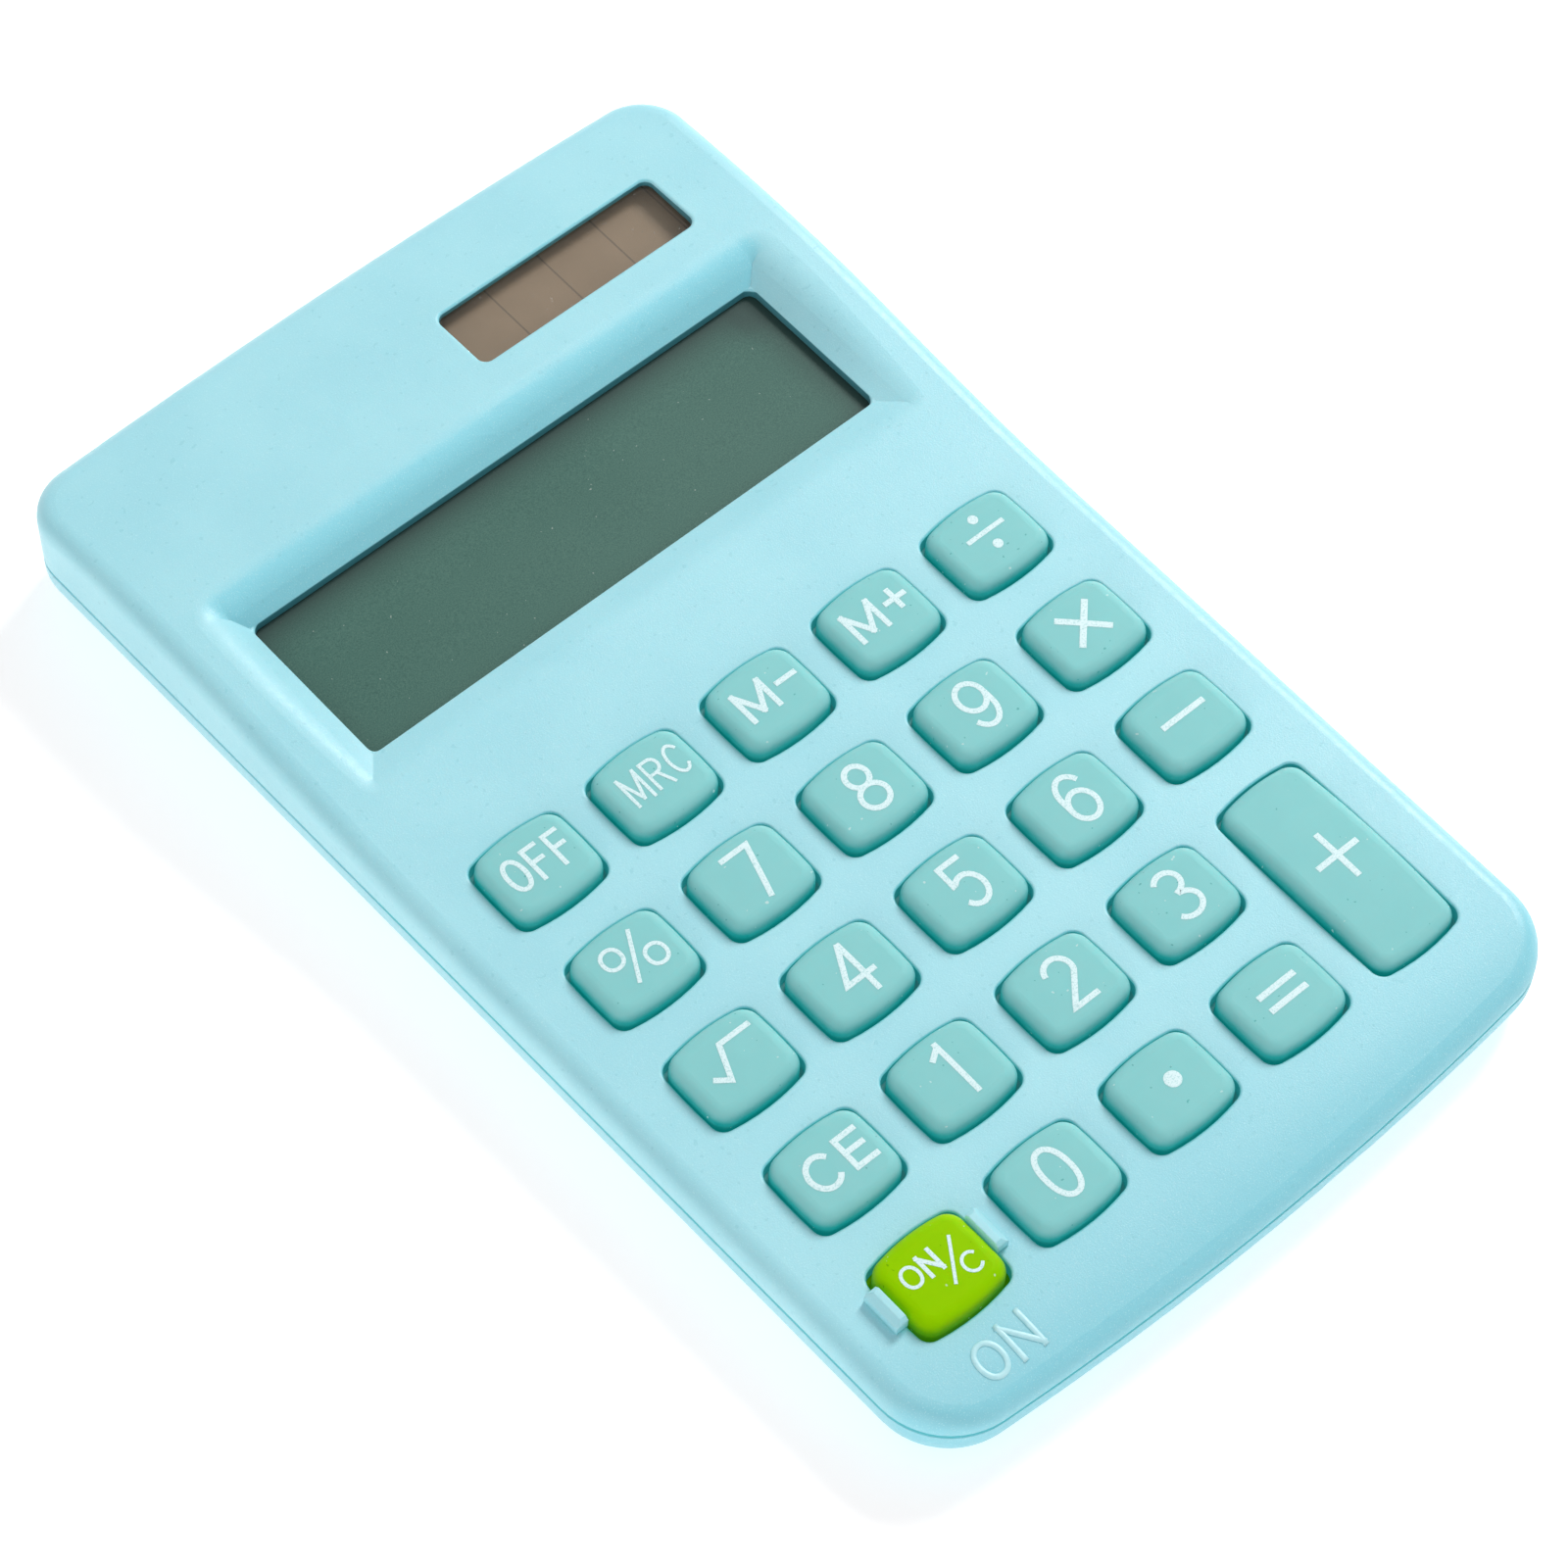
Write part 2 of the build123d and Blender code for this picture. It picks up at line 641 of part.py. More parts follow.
with BuildPart() as board_screws:
    with BuildSketch(deck.offset(board_bottom)):
        with Locations(*board_screw_places):
            Circle(board_screw_head)
    extrude(amount=-board_screw_head_height)
    fillet(board_screws.edges().group_by(deck_axis)[0], board_screw_head_round)
    with BuildSketch(deck.offset(board_bottom)):
        with Locations(*board_screw_places):
            Circle(board_screw_core)
    extrude(amount=board_screw_top - board_bottom)
finish(board_screws, "board_screws")

# ------------------------------------------------------------------ keys
pillow_places = {**key_places, "key_plus": plus_place}
for name, (across, along) in pillow_places.items():
    depth = tall_key_depth if name == "key_plus" else key_depth
    crown = Plane(
        origin=deck.from_local_coords(Vector(across, along, key_rise - key_crown)),
        x_dir=(1, 0, 0),
        z_dir=deck.z_dir,
    )
    with BuildPart() as key:
        with BuildSketch(deck.offset(flange_bottom)):
            with Locations((across, along)):
                add(pillow(key_width, depth, key_corner))
        extrude(amount=key_rise + crown_blank - flange_bottom)
        with Locations(crown):
            Sphere(key_crown, mode=Mode.INTERSECT)
        top = key.faces().sort_by(deck_axis)[-1]
        fillet(top.edges(), key_edge)
        with BuildSketch(deck.offset(flange_bottom)):
            with Locations((across, along)):
                add(pillow(key_width + 2 * flange_overhang, depth + 2 * flange_overhang, key_corner))
        extrude(amount=flange_top - flange_bottom)
        # Boss with its carbon pill; the tall key has one at either end.
        ends = [-pitch_y / 2, pitch_y / 2] if name == "key_plus" else [0]
        with BuildSketch(deck.offset(boss_bottom)):
            with Locations(*[(across, along + end) for end in ends]):
                Circle(boss_radius)
        extrude(amount=flange_bottom - boss_bottom)
        with BuildSketch(deck.offset(pill_bottom)):
            with Locations(*[(across, along + end) for end in ends]):
                Circle(pill_radius)
        extrude(amount=boss_bottom - pill_bottom)
    finish(key, name)

# ------------------------------------------------------------------ key mat and circuit board
pad_places = [*key_places.values()]
pad_places += [(plus_place[0], plus_place[1] + end) for end in (-pitch_y / 2, pitch_y / 2)]

with BuildPart() as key_mat:
    with BuildSketch(deck.offset(board_top)):
        with Locations((0, (mat_front + mat_back) / 2)):
            RectangleRounded(2 * mat_half_width, mat_back - mat_front, mat_corner)
        with Locations(*pad_places):
            Circle(mat_bore_radius, mode=Mode.SUBTRACT)
    extrude(amount=mat_top - board_top)
finish(key_mat, "key_mat")

with BuildPart() as circuit_board:
    with BuildSketch(deck.offset(board_top)):
        with Locations((0, (mat_front + board_back) / 2)):
            Rectangle(2 * board_half_width, board_back - mat_front)
        with Locations((0, (board_front + mat_front) / 2)):
            Rectangle(2 * board_tongue_half_width, mat_front - board_front)
        with Locations(*board_screw_places):
            Circle(board_screw_core + board_screw_gap, mode=Mode.SUBTRACT)
    extrude(amount=-board_thickness)
finish(circuit_board, "circuit_board")

with BuildPart() as contact_pads:
    with BuildSketch(deck.offset(board_top)):
        with Locations(*pad_places):
            Circle(pad_radius)
    extrude(amount=pad_thickness)
finish(contact_pads, "contact_pads")

with BuildPart() as chip_blob:
    blob_radius = (chip_radius**2 + chip_height**2) / (2 * chip_height)
    chip_middle = deck.from_local_coords(Vector(*chip_place, board_bottom - chip_height + blob_radius))
    with Locations(Plane(origin=chip_middle, x_dir=(1, 0, 0), z_dir=deck.z_dir)):
        Sphere(blob_radius)
    split(bisect_by=deck.offset(board_bottom), keep=Keep.BOTTOM)
finish(chip_blob, "chip_blob")

with BuildPart() as capacitor:
    capacitor_end = Vector(
        capacitor_place[0] - capacitor_length / 2, capacitor_place[1], board_bottom - capacitor_radius
    )
    with BuildSketch(Plane(origin=deck.from_local_coords(capacitor_end), z_dir=(1, 0, 0))):
        Circle(capacitor_radius)
    extrude(amount=capacitor_length)
    fillet(capacitor.edges(), capacitor_round)
finish(capacitor, "capacitor")

resistor_middle = deck.from_local_coords(Vector(*resistor_place, board_bottom - resistor_radius))
with BuildPart() as resistor:
    with BuildSketch(Plane(origin=resistor_middle, x_dir=(1, 0, 0), z_dir=(0, 0, 1))):
        with BuildLine():
            end = resistor_length / 2
            cap = end - resistor_cap
            waist = cap - resistor_shoulder
            waist_radius = resistor_radius - resistor_waist
            Polyline(
                (-end, 0), (-end, resistor_radius), (-cap, resistor_radius), (-waist, waist_radius),
                (waist, waist_radius), (cap, resistor_radius), (end, resistor_radius), (end, 0), close=True,
            )
        make_face()
    revolve(axis=Axis(resistor_middle, (1, 0, 0)))
finish(resistor, "resistor")

# ------------------------------------------------------------------ display
panel_top = -display_wall
front_glass_bottom = panel_top - polariser_thickness - glass_thickness
rear_glass_bottom = front_glass_bottom - glass_thickness
panel_bottom = rear_glass_bottom - polariser_thickness
glass_half_width = window_half_width + glass_margin
glass_front = window_front - glass_margin
glass_back = window_back + glass_margin
ledge_front = glass_front - glass_ledge
sheet_width = 2 * (glass_half_width - polariser_margin)
sheet_depth = glass_back - glass_front - 2 * polariser_margin

with BuildPart() as lcd_panel:
    with BuildSketch(deck.offset(front_glass_bottom)):
        with Locations((0, (glass_front + glass_back) / 2)):
            Rectangle(2 * glass_half_width, glass_back - glass_front)
    extrude(amount=glass_thickness)
    with BuildSketch(deck.offset(rear_glass_bottom)):
        with Locations((0, (ledge_front + glass_back) / 2)):
            Rectangle(2 * glass_half_width, glass_back - ledge_front)
    extrude(amount=glass_thickness)
    # Polarising sheets, a little smaller than the glass.
    with BuildSketch(deck.offset(front_glass_bottom + glass_thickness)):
        with Locations((0, (glass_front + glass_back) / 2)):
            Rectangle(sheet_width, sheet_depth)
    extrude(amount=polariser_thickness)
    with BuildSketch(deck.offset(panel_bottom)):
        with Locations((0, (glass_front + glass_back) / 2)):
            Rectangle(sheet_width, sheet_depth)
    extrude(amount=polariser_thickness)
finish(lcd_panel, "lcd_panel")

frame_bottom = panel_bottom - frame_floor
frame_middle = (ledge_front + glass_back) / 2
frame_opening_width = 2 * (glass_half_width - frame_opening_side)
frame_opening_depth = glass_back - ledge_front - 2 * frame_opening_end
with BuildPart() as lcd_frame:
    with BuildSketch(deck.offset(frame_bottom)):
        with Locations((0, frame_middle)):
            Rectangle(frame_width, glass_back - ledge_front + 2 * frame_side)
    extrude(amount=panel_top - frame_gap - frame_bottom)
    with BuildSketch(deck.offset(panel_bottom)):
        with Locations((0, frame_middle)):
            Rectangle(2 * (glass_half_width + frame_gap), glass_back - ledge_front + 2 * frame_gap)
    extrude(amount=deck_height, mode=Mode.SUBTRACT)
    with BuildSketch(deck.offset(frame_bottom)):
        with Locations((0, frame_middle)):
            Rectangle(frame_opening_width, frame_opening_depth)
    extrude(amount=frame_floor, mode=Mode.SUBTRACT)
    # Slot for the ribbon in the wall nearest the keys.
    with BuildSketch(deck.offset(rear_glass_bottom)):
        with Locations((0, ledge_front - frame_side)):
            Rectangle(2 * (ribbon_half_width + ribbon_slot), 2 * frame_side)
    extrude(amount=deck_height, mode=Mode.SUBTRACT)
finish(lcd_frame, "lcd_frame")

ribbon_lay = ribbon_thickness / 2 + ribbon_gap
ribbon_top = front_glass_bottom + ribbon_lay
ribbon_foot = board_top + ribbon_lay
with BuildPart() as lcd_ribbon:
    with BuildSketch(side_view):
        with BuildLine():
            Polyline(
                (glass_front - 0.1, ribbon_top), (ledge_front - 0.25, ribbon_top),
                (board_back - 0.2, ribbon_foot), (board_back - 0.2 - ribbon_overlap, ribbon_foot),
            )
        trace(line_width=ribbon_thickness)
    extrude(amount=ribbon_half_width, both=True)
finish(lcd_ribbon, "lcd_ribbon")

# ------------------------------------------------------------------ solar cell
solar_glass_bottom = solar_ceiling - solar_glass_thickness
with BuildPart() as solar_glass:
    with BuildSketch(deck.offset(solar_glass_bottom)):
        with Locations(solar_place):
            Rectangle(solar_width + 2 * solar_margin, solar_depth + 2 * solar_margin)
    extrude(amount=solar_glass_thickness)
finish(solar_glass, "solar_glass")

film_margin = solar_margin - solar_film_margin
with BuildPart() as solar_cell:
    with BuildSketch(deck.offset(solar_glass_bottom - solar_film_gap - solar_film_thickness)):
        with Locations(solar_place):
            Rectangle(solar_width + 2 * film_margin, solar_depth + 2 * film_margin)
    extrude(amount=solar_film_thickness)
finish(solar_cell, "solar_cell")

# ------------------------------------------------------------------ battery and its contacts
battery_top = battery_bottom + battery_height
with BuildPart() as battery:
    with BuildSketch(Plane.XY.offset(battery_bottom)):
        with Locations(battery_place):
            Circle(battery_radius)
    extrude(amount=battery_height - battery_crimp)
    fillet(battery.edges().group_by(Axis.Z)[0], 0.3)
    fillet(battery.edges().group_by(Axis.Z)[-1], 0.25)
    with BuildSketch(Plane.XY.offset(battery_top - battery_crimp)):
        with Locations(battery_place):
            Circle(battery_radius - battery_crimp_width)
    extrude(amount=battery_crimp)
    fillet(battery.edges().group_by(Axis.Z)[-1], 0.15)
finish(battery, "battery")

with BuildPart() as battery_contact_negative:
    with BuildSketch(Plane(origin=(battery_x, battery_y, 0), x_dir=(1, 0, 0), z_dir=(0, -1, 0))):
        with BuildLine():
            Polyline(
                (negative_slot, well_top + contact_rise), (negative_slot, well_ceiling - negative_drop),
                (1.0, well_ceiling - negative_drop), (-1.5, battery_top + negative_spring),
                (-4.0, well_ceiling - negative_drop),
            )
        trace(line_width=contact_thickness)
    extrude(amount=contact_width / 2, both=True)
finish(battery_contact_negative, "battery_contact_negative")

with BuildPart() as battery_contact_positive:
    with BuildSketch(Plane(origin=(battery_x, battery_y, 0), x_dir=(0, 1, 0), z_dir=(1, 0, 0))):
        with BuildLine():
            Polyline(
                (positive_slot, floor_wall + 0.4), (battery_radius + positive_spring, 2.9),
                (positive_slot, 4.4), (positive_slot, well_top + contact_rise),
            )
        trace(line_width=contact_thickness)
    extrude(amount=contact_width / 2, both=True)
finish(battery_contact_positive, "battery_contact_positive")

# ------------------------------------------------------------------ wires
def wire(label, points):
    """A round wire run smoothly through the points."""
    with BuildPart() as run:
        with BuildLine():
            path = Spline(*points)
        with BuildSketch(Plane(origin=path @ 0, z_dir=path % 0)):
            Circle(wire_radius)
        sweep()
    finish(run, label)


board_pad_y = 12.2
board_pad_z = 3.5
tab_z = well_top + 0.6
wire_floor = 2.0
wire(
    "battery_wire_black",
    [
        (battery_x + negative_slot + 0.55, battery_y + 1.5, tab_z), (-5.0, 45.8, 7.2), (-2.6, 43.5, 5.6),
        (-2.0, 40.5, 3.1), (-1.9, 36.5, wire_floor), (-2.6, 28.0, wire_floor), (-5.0, 15.5, 2.3),
        (-6.2, board_pad_y, board_pad_z),
    ],
)
wire(
    "battery_wire_red",
    [
        (battery_x + 1.0, battery_y + positive_slot - 0.55, tab_z), (-8.0, 52.0, 6.9), (-3.4, 49.5, 6.6),
        (-1.0, 45.5, 3.6), (-0.4, 41.0, 2.1), (-0.3, 36.0, wire_floor), (-0.9, 25.0, wire_floor),
        (-2.4, 15.5, 2.3), (-3.2, board_pad_y, board_pad_z),
    ],
)
for label, shift in (("solar_wire_black", 0.0), ("solar_wire_red", 1.8)):
    wire(
        label,
        [
            (23.0 + shift, 45.6, 8.3), (23.0 + shift, 43.4, 5.6), (23.0 + shift, 40.0, 2.6),
            (22.6 + shift, 30.0, wire_floor), (20.5 + shift, 16.0, 2.2),
            (19.6 + shift, board_pad_y, board_pad_z),
        ],
    )
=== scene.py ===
"""Looks of the pocket calculator: materials, printed legends, the raised word, floor, light and camera.

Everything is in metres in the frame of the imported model.  Key-top work is laid out in a key's own
coordinates: x to the right and y towards the display, in millimetres from the key's middle.
"""

import json
from math import atan2, cos, hypot, pi, radians, sin

import bpy
from mathutils import Matrix, Vector
from mathutils.bvhtree import BVHTree


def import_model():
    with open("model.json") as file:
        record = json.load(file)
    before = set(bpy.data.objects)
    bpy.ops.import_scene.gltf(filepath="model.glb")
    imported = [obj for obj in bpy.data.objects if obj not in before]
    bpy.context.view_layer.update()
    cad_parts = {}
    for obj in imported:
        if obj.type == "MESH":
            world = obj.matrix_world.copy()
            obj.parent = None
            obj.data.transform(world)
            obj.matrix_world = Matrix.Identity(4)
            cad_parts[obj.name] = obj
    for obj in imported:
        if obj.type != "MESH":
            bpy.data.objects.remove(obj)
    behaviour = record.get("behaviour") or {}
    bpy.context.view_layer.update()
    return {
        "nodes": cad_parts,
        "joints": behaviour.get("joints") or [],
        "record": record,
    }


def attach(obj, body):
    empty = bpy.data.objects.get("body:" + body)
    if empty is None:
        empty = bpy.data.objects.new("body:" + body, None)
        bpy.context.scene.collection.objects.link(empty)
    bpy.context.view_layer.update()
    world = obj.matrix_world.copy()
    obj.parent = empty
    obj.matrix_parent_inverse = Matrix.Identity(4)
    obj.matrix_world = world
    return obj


MM = 0.001

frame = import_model()
record = frame["record"]


# ------------------------------------------------------------------ the deck, read from the frame
def extent(node, direction):
    """Lowest and highest reach of a CAD node along a direction."""
    reach = [vertex.co.dot(direction) for vertex in frame["nodes"][node].data.vertices]
    return min(reach), max(reach)


def middle(node, direction):
    return sum(extent(node, direction)) / 2


press = next(joint["axis"] for joint in frame["joints"] if joint["child"] == "key_5")
up = -Vector(press).normalized()
right = Vector((1, 0, 0))
ahead = up.cross(right)

KEY_RISE = 1.45 * MM            # key tops above the deck


def key_top(key):
    """The highest point of a key, in the middle of its domed top."""
    return right * middle(key, right) + ahead * middle(key, ahead) + up * extent(key, up)[1]


deck_middle = key_top("key_5") - up * KEY_RISE


def reach(node, direction):
    """How far a node reaches back and forth along a direction, counted from key 5."""
    origin = deck_middle.dot(direction)
    low, high = extent(node, direction)
    return low - origin, high - origin


keys_near = reach("key_0", ahead)[0]
keys_far = reach("key_off", ahead)[1]
keys_side = -reach("key_off", right)[0]
strip_near, strip_far = reach("solar_glass", ahead)


# ------------------------------------------------------------------ node trees
class Shader:
    """A material's node tree, put together one node at a time."""

    def __init__(self, name):
        self.material = bpy.data.materials.new(name)
        self.material.use_nodes = True
        self.tree = self.material.node_tree
        self.tree.nodes.clear()
        self.place = self.node("TexCoord").outputs["Object"]

    def node(self, kind, inputs=None, **settings):
        """Adds a shader node, sets its properties, and feeds or links its inputs."""
        made = self.tree.nodes.new("ShaderNode" + kind)
        for name, value in settings.items():
            setattr(made, name, value)
        for name, value in (inputs or {}).items():
            socket = made.inputs[name]
            if isinstance(value, bpy.types.NodeSocket):
                self.tree.links.new(value, socket)
            else:
                socket.default_value = value
        return made

    def noise(self, size_mm, detail=2.0, roughness=0.5, squeeze=(1, 1, 1)):
        """Noise whose blotches are about size_mm across."""
        spread = self.node("Mapping", {"Vector": self.place, "Scale": squeeze}).outputs["Vector"]
        inputs = {"Vector": spread, "Scale": 1 / (size_mm * MM), "Detail": detail, "Roughness": roughness}
        return self.node("TexNoise", inputs).outputs["Fac"]

    def ramp(self, value, low, high, from_low=0.0, from_high=1.0):
        """The value carried smoothly from one range to another and held at its ends."""
        inputs = {
            "Value": value, "From Min": from_low, "From Max": from_high, "To Min": low, "To Max": high,
        }
        return self.node("MapRange", inputs, interpolation_type="SMOOTHSTEP").outputs["Result"]

    def math(self, operation, first, second=0.0):
        made = self.node("Math", operation=operation)
        for socket, value in zip(made.inputs, (first, second)):
            if isinstance(value, bpy.types.NodeSocket):
                self.tree.links.new(value, socket)
            else:
                socket.default_value = value
        return made.outputs[0]

    def product(self, first, *others):
        for other in others:
            first = self.math("MULTIPLY", first, other)
        return first

    def mix(self, share, first, second):
        """Two colours mixed; each is an (r, g, b) in linear light or another node's colour."""
        made = self.node("Mix", data_type="RGBA")
        factor, a, b = made.inputs["Factor"], made.inputs[6], made.inputs[7]
        for socket, value in ((factor, share), (a, first), (b, second)):
            if isinstance(value, bpy.types.NodeSocket):
                self.tree.links.new(value, socket)
            elif socket is factor:
                socket.default_value = value
            else:
                socket.default_value = (*value, 1)
        return made.outputs[2]

    def facing(self, direction):
        """How squarely the surface faces a direction, from -1 to 1."""
        normal = self.node("NewGeometry").outputs["Normal"]
        return self.node("VectorMath", {0: normal, 1: direction}, operation="DOT_PRODUCT").outputs["Value"]

    def along(self, direction, origin):
        """Distance along a direction from an origin, in metres."""
        made = self.node("VectorMath", {0: self.place, 1: direction}, operation="DOT_PRODUCT")
        return self.math("SUBTRACT", made.outputs["Value"], origin.dot(direction))

    def beyond(self, direction, start, end):
        """Rises from 0 to 1 between two distances from key 5 along a direction, in metres."""
        return self.ramp(self.along(direction, deck_middle), 0.0, 1.0, start, end)

    def before(self, direction, start, end):
        """Falls from 1 to 0 between two distances from key 5 along a direction, in metres."""
        return self.ramp(self.along(direction, deck_middle), 1.0, 0.0, start, end)

    def bump(self, height, depth_mm, strength=1.0, normal=None):
        inputs = {"Height": height, "Distance": depth_mm * MM, "Strength": strength}
        if normal:
            inputs["Normal"] = normal
        return self.node("Bump", inputs).outputs["Normal"]

    def edges(self, width_mm):
        """0 on flat surfaces, rising to 1 on edges that stand out or turn in."""
        soft = self.node("Bevel", {"Radius": width_mm * MM}, samples=4).outputs["Normal"]
        normal = self.node("NewGeometry").outputs["Normal"]
        likeness = self.node("VectorMath", {0: soft, 1: normal}, operation="DOT_PRODUCT").outputs["Value"]
        return self.ramp(likeness, 1.0, 0.0, 0.75, 0.99)

    def shadow_in_recess(self, reach_mm, strength):
        """Share of painted shadow: strong beside a wall that stands in the light from the upper right,
        fading away from it.
        """
        x, y, z = (up + right * 0.8 + ahead * 0.7).normalized()
        lit_from = self.node("CombineXYZ", {"X": x, "Y": y, "Z": z}).outputs["Vector"]
        inputs = {"Distance": reach_mm * MM, "Normal": lit_from}
        nook = self.node("AmbientOcclusion", inputs, samples=8).outputs["AO"]
        return self.ramp(nook, strength, 0.0, 0.50, 0.88)

    def surface(self, **inputs):
        """Closes the tree with a principled surface and returns the material."""
        named = {name.replace("_", " ").title().replace("Ior", "IOR"): v for name, v in inputs.items()}
        shader = self.node("BsdfPrincipled")
        for name, value in named.items():
            socket = shader.inputs[name]
            if isinstance(value, bpy.types.NodeSocket):
                self.tree.links.new(value, socket)
            elif isinstance(value, tuple) and len(value) == 3 and socket.type == "RGBA":
                socket.default_value = (*value, 1)
            else:
                socket.default_value = value
        return self.close(shader.outputs["BSDF"])

    def close(self, shader):
        output = self.node("OutputMaterial")
        self.tree.links.new(shader, output.inputs["Surface"])
        return self.material


# ------------------------------------------------------------------ materials
def case_plastic():
    """Satin light blue plastic with a fine spark texture, cloudy by a hair; painted shade and a painted
    glow beside the keys, painted light on the guards, painted shade on the openings' walls and where the
    face turns towards the keypad end.
    """
    s = Shader("case_plastic")
    cloud = s.ramp(s.noise(9, detail=3), 0.0, 1.0, 0.3, 0.7)
    colour = s.mix(cloud, (0.375, 0.735, 0.815), (0.405, 0.765, 0.840))
    # Painted shade: where the face turns down towards the keypad end, away from the light, its colour is
    # darker and deeper; the whole keypad end is darker and deeper in colour as well.
    colour = s.mix(s.ramp(s.facing(-ahead), 0.0, 0.85, 0.03, 0.35), colour, (0.265, 0.690, 0.795))
    keypad_end = s.before(ahead, keys_near - 6.2 * MM, keys_near + 10.3 * MM)
    colour = s.mix(s.product(keypad_end, 0.65), colour, (0.265, 0.640, 0.735))
    fleck = s.ramp(s.noise(0.11, detail=1), 0.0, 1.0, 0.60, 0.74)
    colour = s.mix(s.product(fleck, 0.40), colour, (0.64, 0.93, 0.97))
    speck = s.ramp(s.noise(0.5, detail=0), 0.0, 1.0, 0.235, 0.20)
    colour = s.mix(s.product(speck, 0.25), colour, (0.22, 0.55, 0.62))
    # Painted shade and a painted glow beside the keys: the plastic is darkened towards teal where it is
    # occluded, and made to glow, in place of light that has passed through the silicone.
    nook = s.node("AmbientOcclusion", {"Distance": 1.6 * MM}, samples=6).outputs["AO"]
    keypad = s.before(ahead, keys_far + 1.7 * MM, keys_far + 5.7 * MM)
    shade_and_glow_near_keys = s.product(s.ramp(nook, 0.80, 0.0, 0.15, 0.65), keypad)
    # The guards stand clear of the deck: no painted shade, but a paler painted colour and painted glow
    # there stand in for light coming through them from all sides.
    guard = s.product(keypad, s.beyond(up, 0.2 * MM, 0.5 * MM))
    above = s.ramp(s.facing(up), 0.0, 1.0, -0.2, 0.4)
    teal_shade_share = s.product(shade_and_glow_near_keys, above, s.math("SUBTRACT", 1.0, guard))
    colour = s.mix(teal_shade_share, colour, (0.08, 0.55, 0.55))
    colour = s.mix(s.product(guard, 0.6), colour, (0.44, 0.79, 0.86))
    painted_glow = s.mix(guard, (0.02, 0.42, 0.42), (0.32, 0.72, 0.78))
    # Edges paler: rubbed wear and a painted highlight.
    wear_and_edge_highlight = s.product(s.edges(0.35), s.ramp(s.noise(1.6, detail=4), 0.25, 0.8, 0.35, 0.65))
    colour = s.mix(s.product(wear_and_edge_highlight, 0.22), colour, (0.60, 0.90, 0.94))
    # Painted shade: the openings' walls are painted darker and deeper in colour.
    upright = s.ramp(s.math("ABSOLUTE", s.facing(up)), 1.0, 0.0, 0.30, 0.55)
    across = s.math("ABSOLUTE", s.along(right, deck_middle))
    between = s.ramp(across, 1.0, 0.0, keys_side + 0.4 * MM, keys_side + 0.6 * MM)
    past_near = s.beyond(ahead, keys_near - 0.7 * MM, keys_near - 0.5 * MM)
    short_of_far = s.before(ahead, strip_far + 0.3 * MM, strip_far + 0.5 * MM)
    sunk = s.before(up, 0.0, 0.1 * MM)
    at_strip = s.beyond(ahead, strip_near - 2.5 * MM, strip_near - 2.3 * MM)
    shaded_walls = s.product(between, upright, past_near, short_of_far, s.math("MAXIMUM", sunk, at_strip))
    colour = s.mix(s.product(shaded_walls, 0.85), colour, (0.010, 0.16, 0.20))
    roughness = s.ramp(s.noise(0.6, detail=4), 0.36, 0.46, 0.3, 0.7)
    softened = s.node("Bevel", {"Radius": 0.15 * MM}, samples=4).outputs["Normal"]
    grain = s.bump(s.noise(0.16, detail=3, roughness=0.6), 0.016, 1.0, normal=softened)
    # The emission is the painted glow beside the keys.
    return s.surface(
        base_color=colour, roughness=roughness, normal=grain, ior=1.5,
        subsurface_weight=0.18, subsurface_radius=(0.35, 0.8, 0.9), subsurface_scale=1.2 * MM,
        emission_color=painted_glow, emission_strength=s.product(shade_and_glow_near_keys, 0.35),
    )


def silicone(name, shaded_flank, sheened_top, bright, painted_glow):
    """Translucent rubber with dust and soft wear; painted shade on the flanks, a painted sheen where it
    faces up, a painted highlight on the side towards the light and a painted glow on the flanks.
    """
    s = Shader(name)
    # Painted shade on the flanks and a painted sheen on the top.
    painted_sheen = s.ramp(s.facing(up), 0.0, 1.0, 0.05, 0.80)
    colour = s.mix(painted_sheen, shaded_flank, sheened_top)
    # Painted highlight on the side that faces the light.
    painted_light_side = s.ramp(s.facing((right * 0.6 + ahead * 0.5 + up * 0.62).normalized()), 0.0, 1.0, 0.72, 1.0)
    colour = s.mix(s.product(painted_light_side, 0.55), colour, bright)
    cloud = s.ramp(s.noise(2.4, detail=4), 0.0, 1.0, 0.3, 0.7)
    colour = s.mix(s.product(cloud, 0.10), colour, bright)
    dust = s.ramp(s.noise(0.42, detail=0), 0.0, 1.0, 0.845, 0.86)
    colour = s.mix(s.product(dust, 0.5), colour, (0.80, 0.86, 0.84))
    pit = s.ramp(s.noise(0.33, detail=0), 0.0, 1.0, 0.150, 0.140)
    colour = s.mix(s.product(pit, 0.5), colour, shaded_flank)
    scuff = s.noise(0.5, detail=5, squeeze=(1, 0.25, 1))
    roughness = s.ramp(scuff, 0.46, 0.60, 0.3, 0.7)
    fine = s.bump(s.noise(0.07, detail=3), 0.004, 0.8)
    worn = s.bump(s.noise(1.4, detail=2), 0.02, 0.5, normal=fine)
    return s.surface(
        base_color=colour, roughness=roughness, normal=worn, ior=1.42,
        subsurface_weight=0.35, subsurface_radius=(0.15, 0.7, 0.7), subsurface_scale=0.9 * MM,
        specular_ior_level=0.3, specular_tint=bright,
        # Painted glow on the flanks, in place of light through the rubber.
        emission_color=painted_glow, emission_strength=s.ramp(s.facing(up), 0.30, 0.0, -0.1, 0.7),
    )


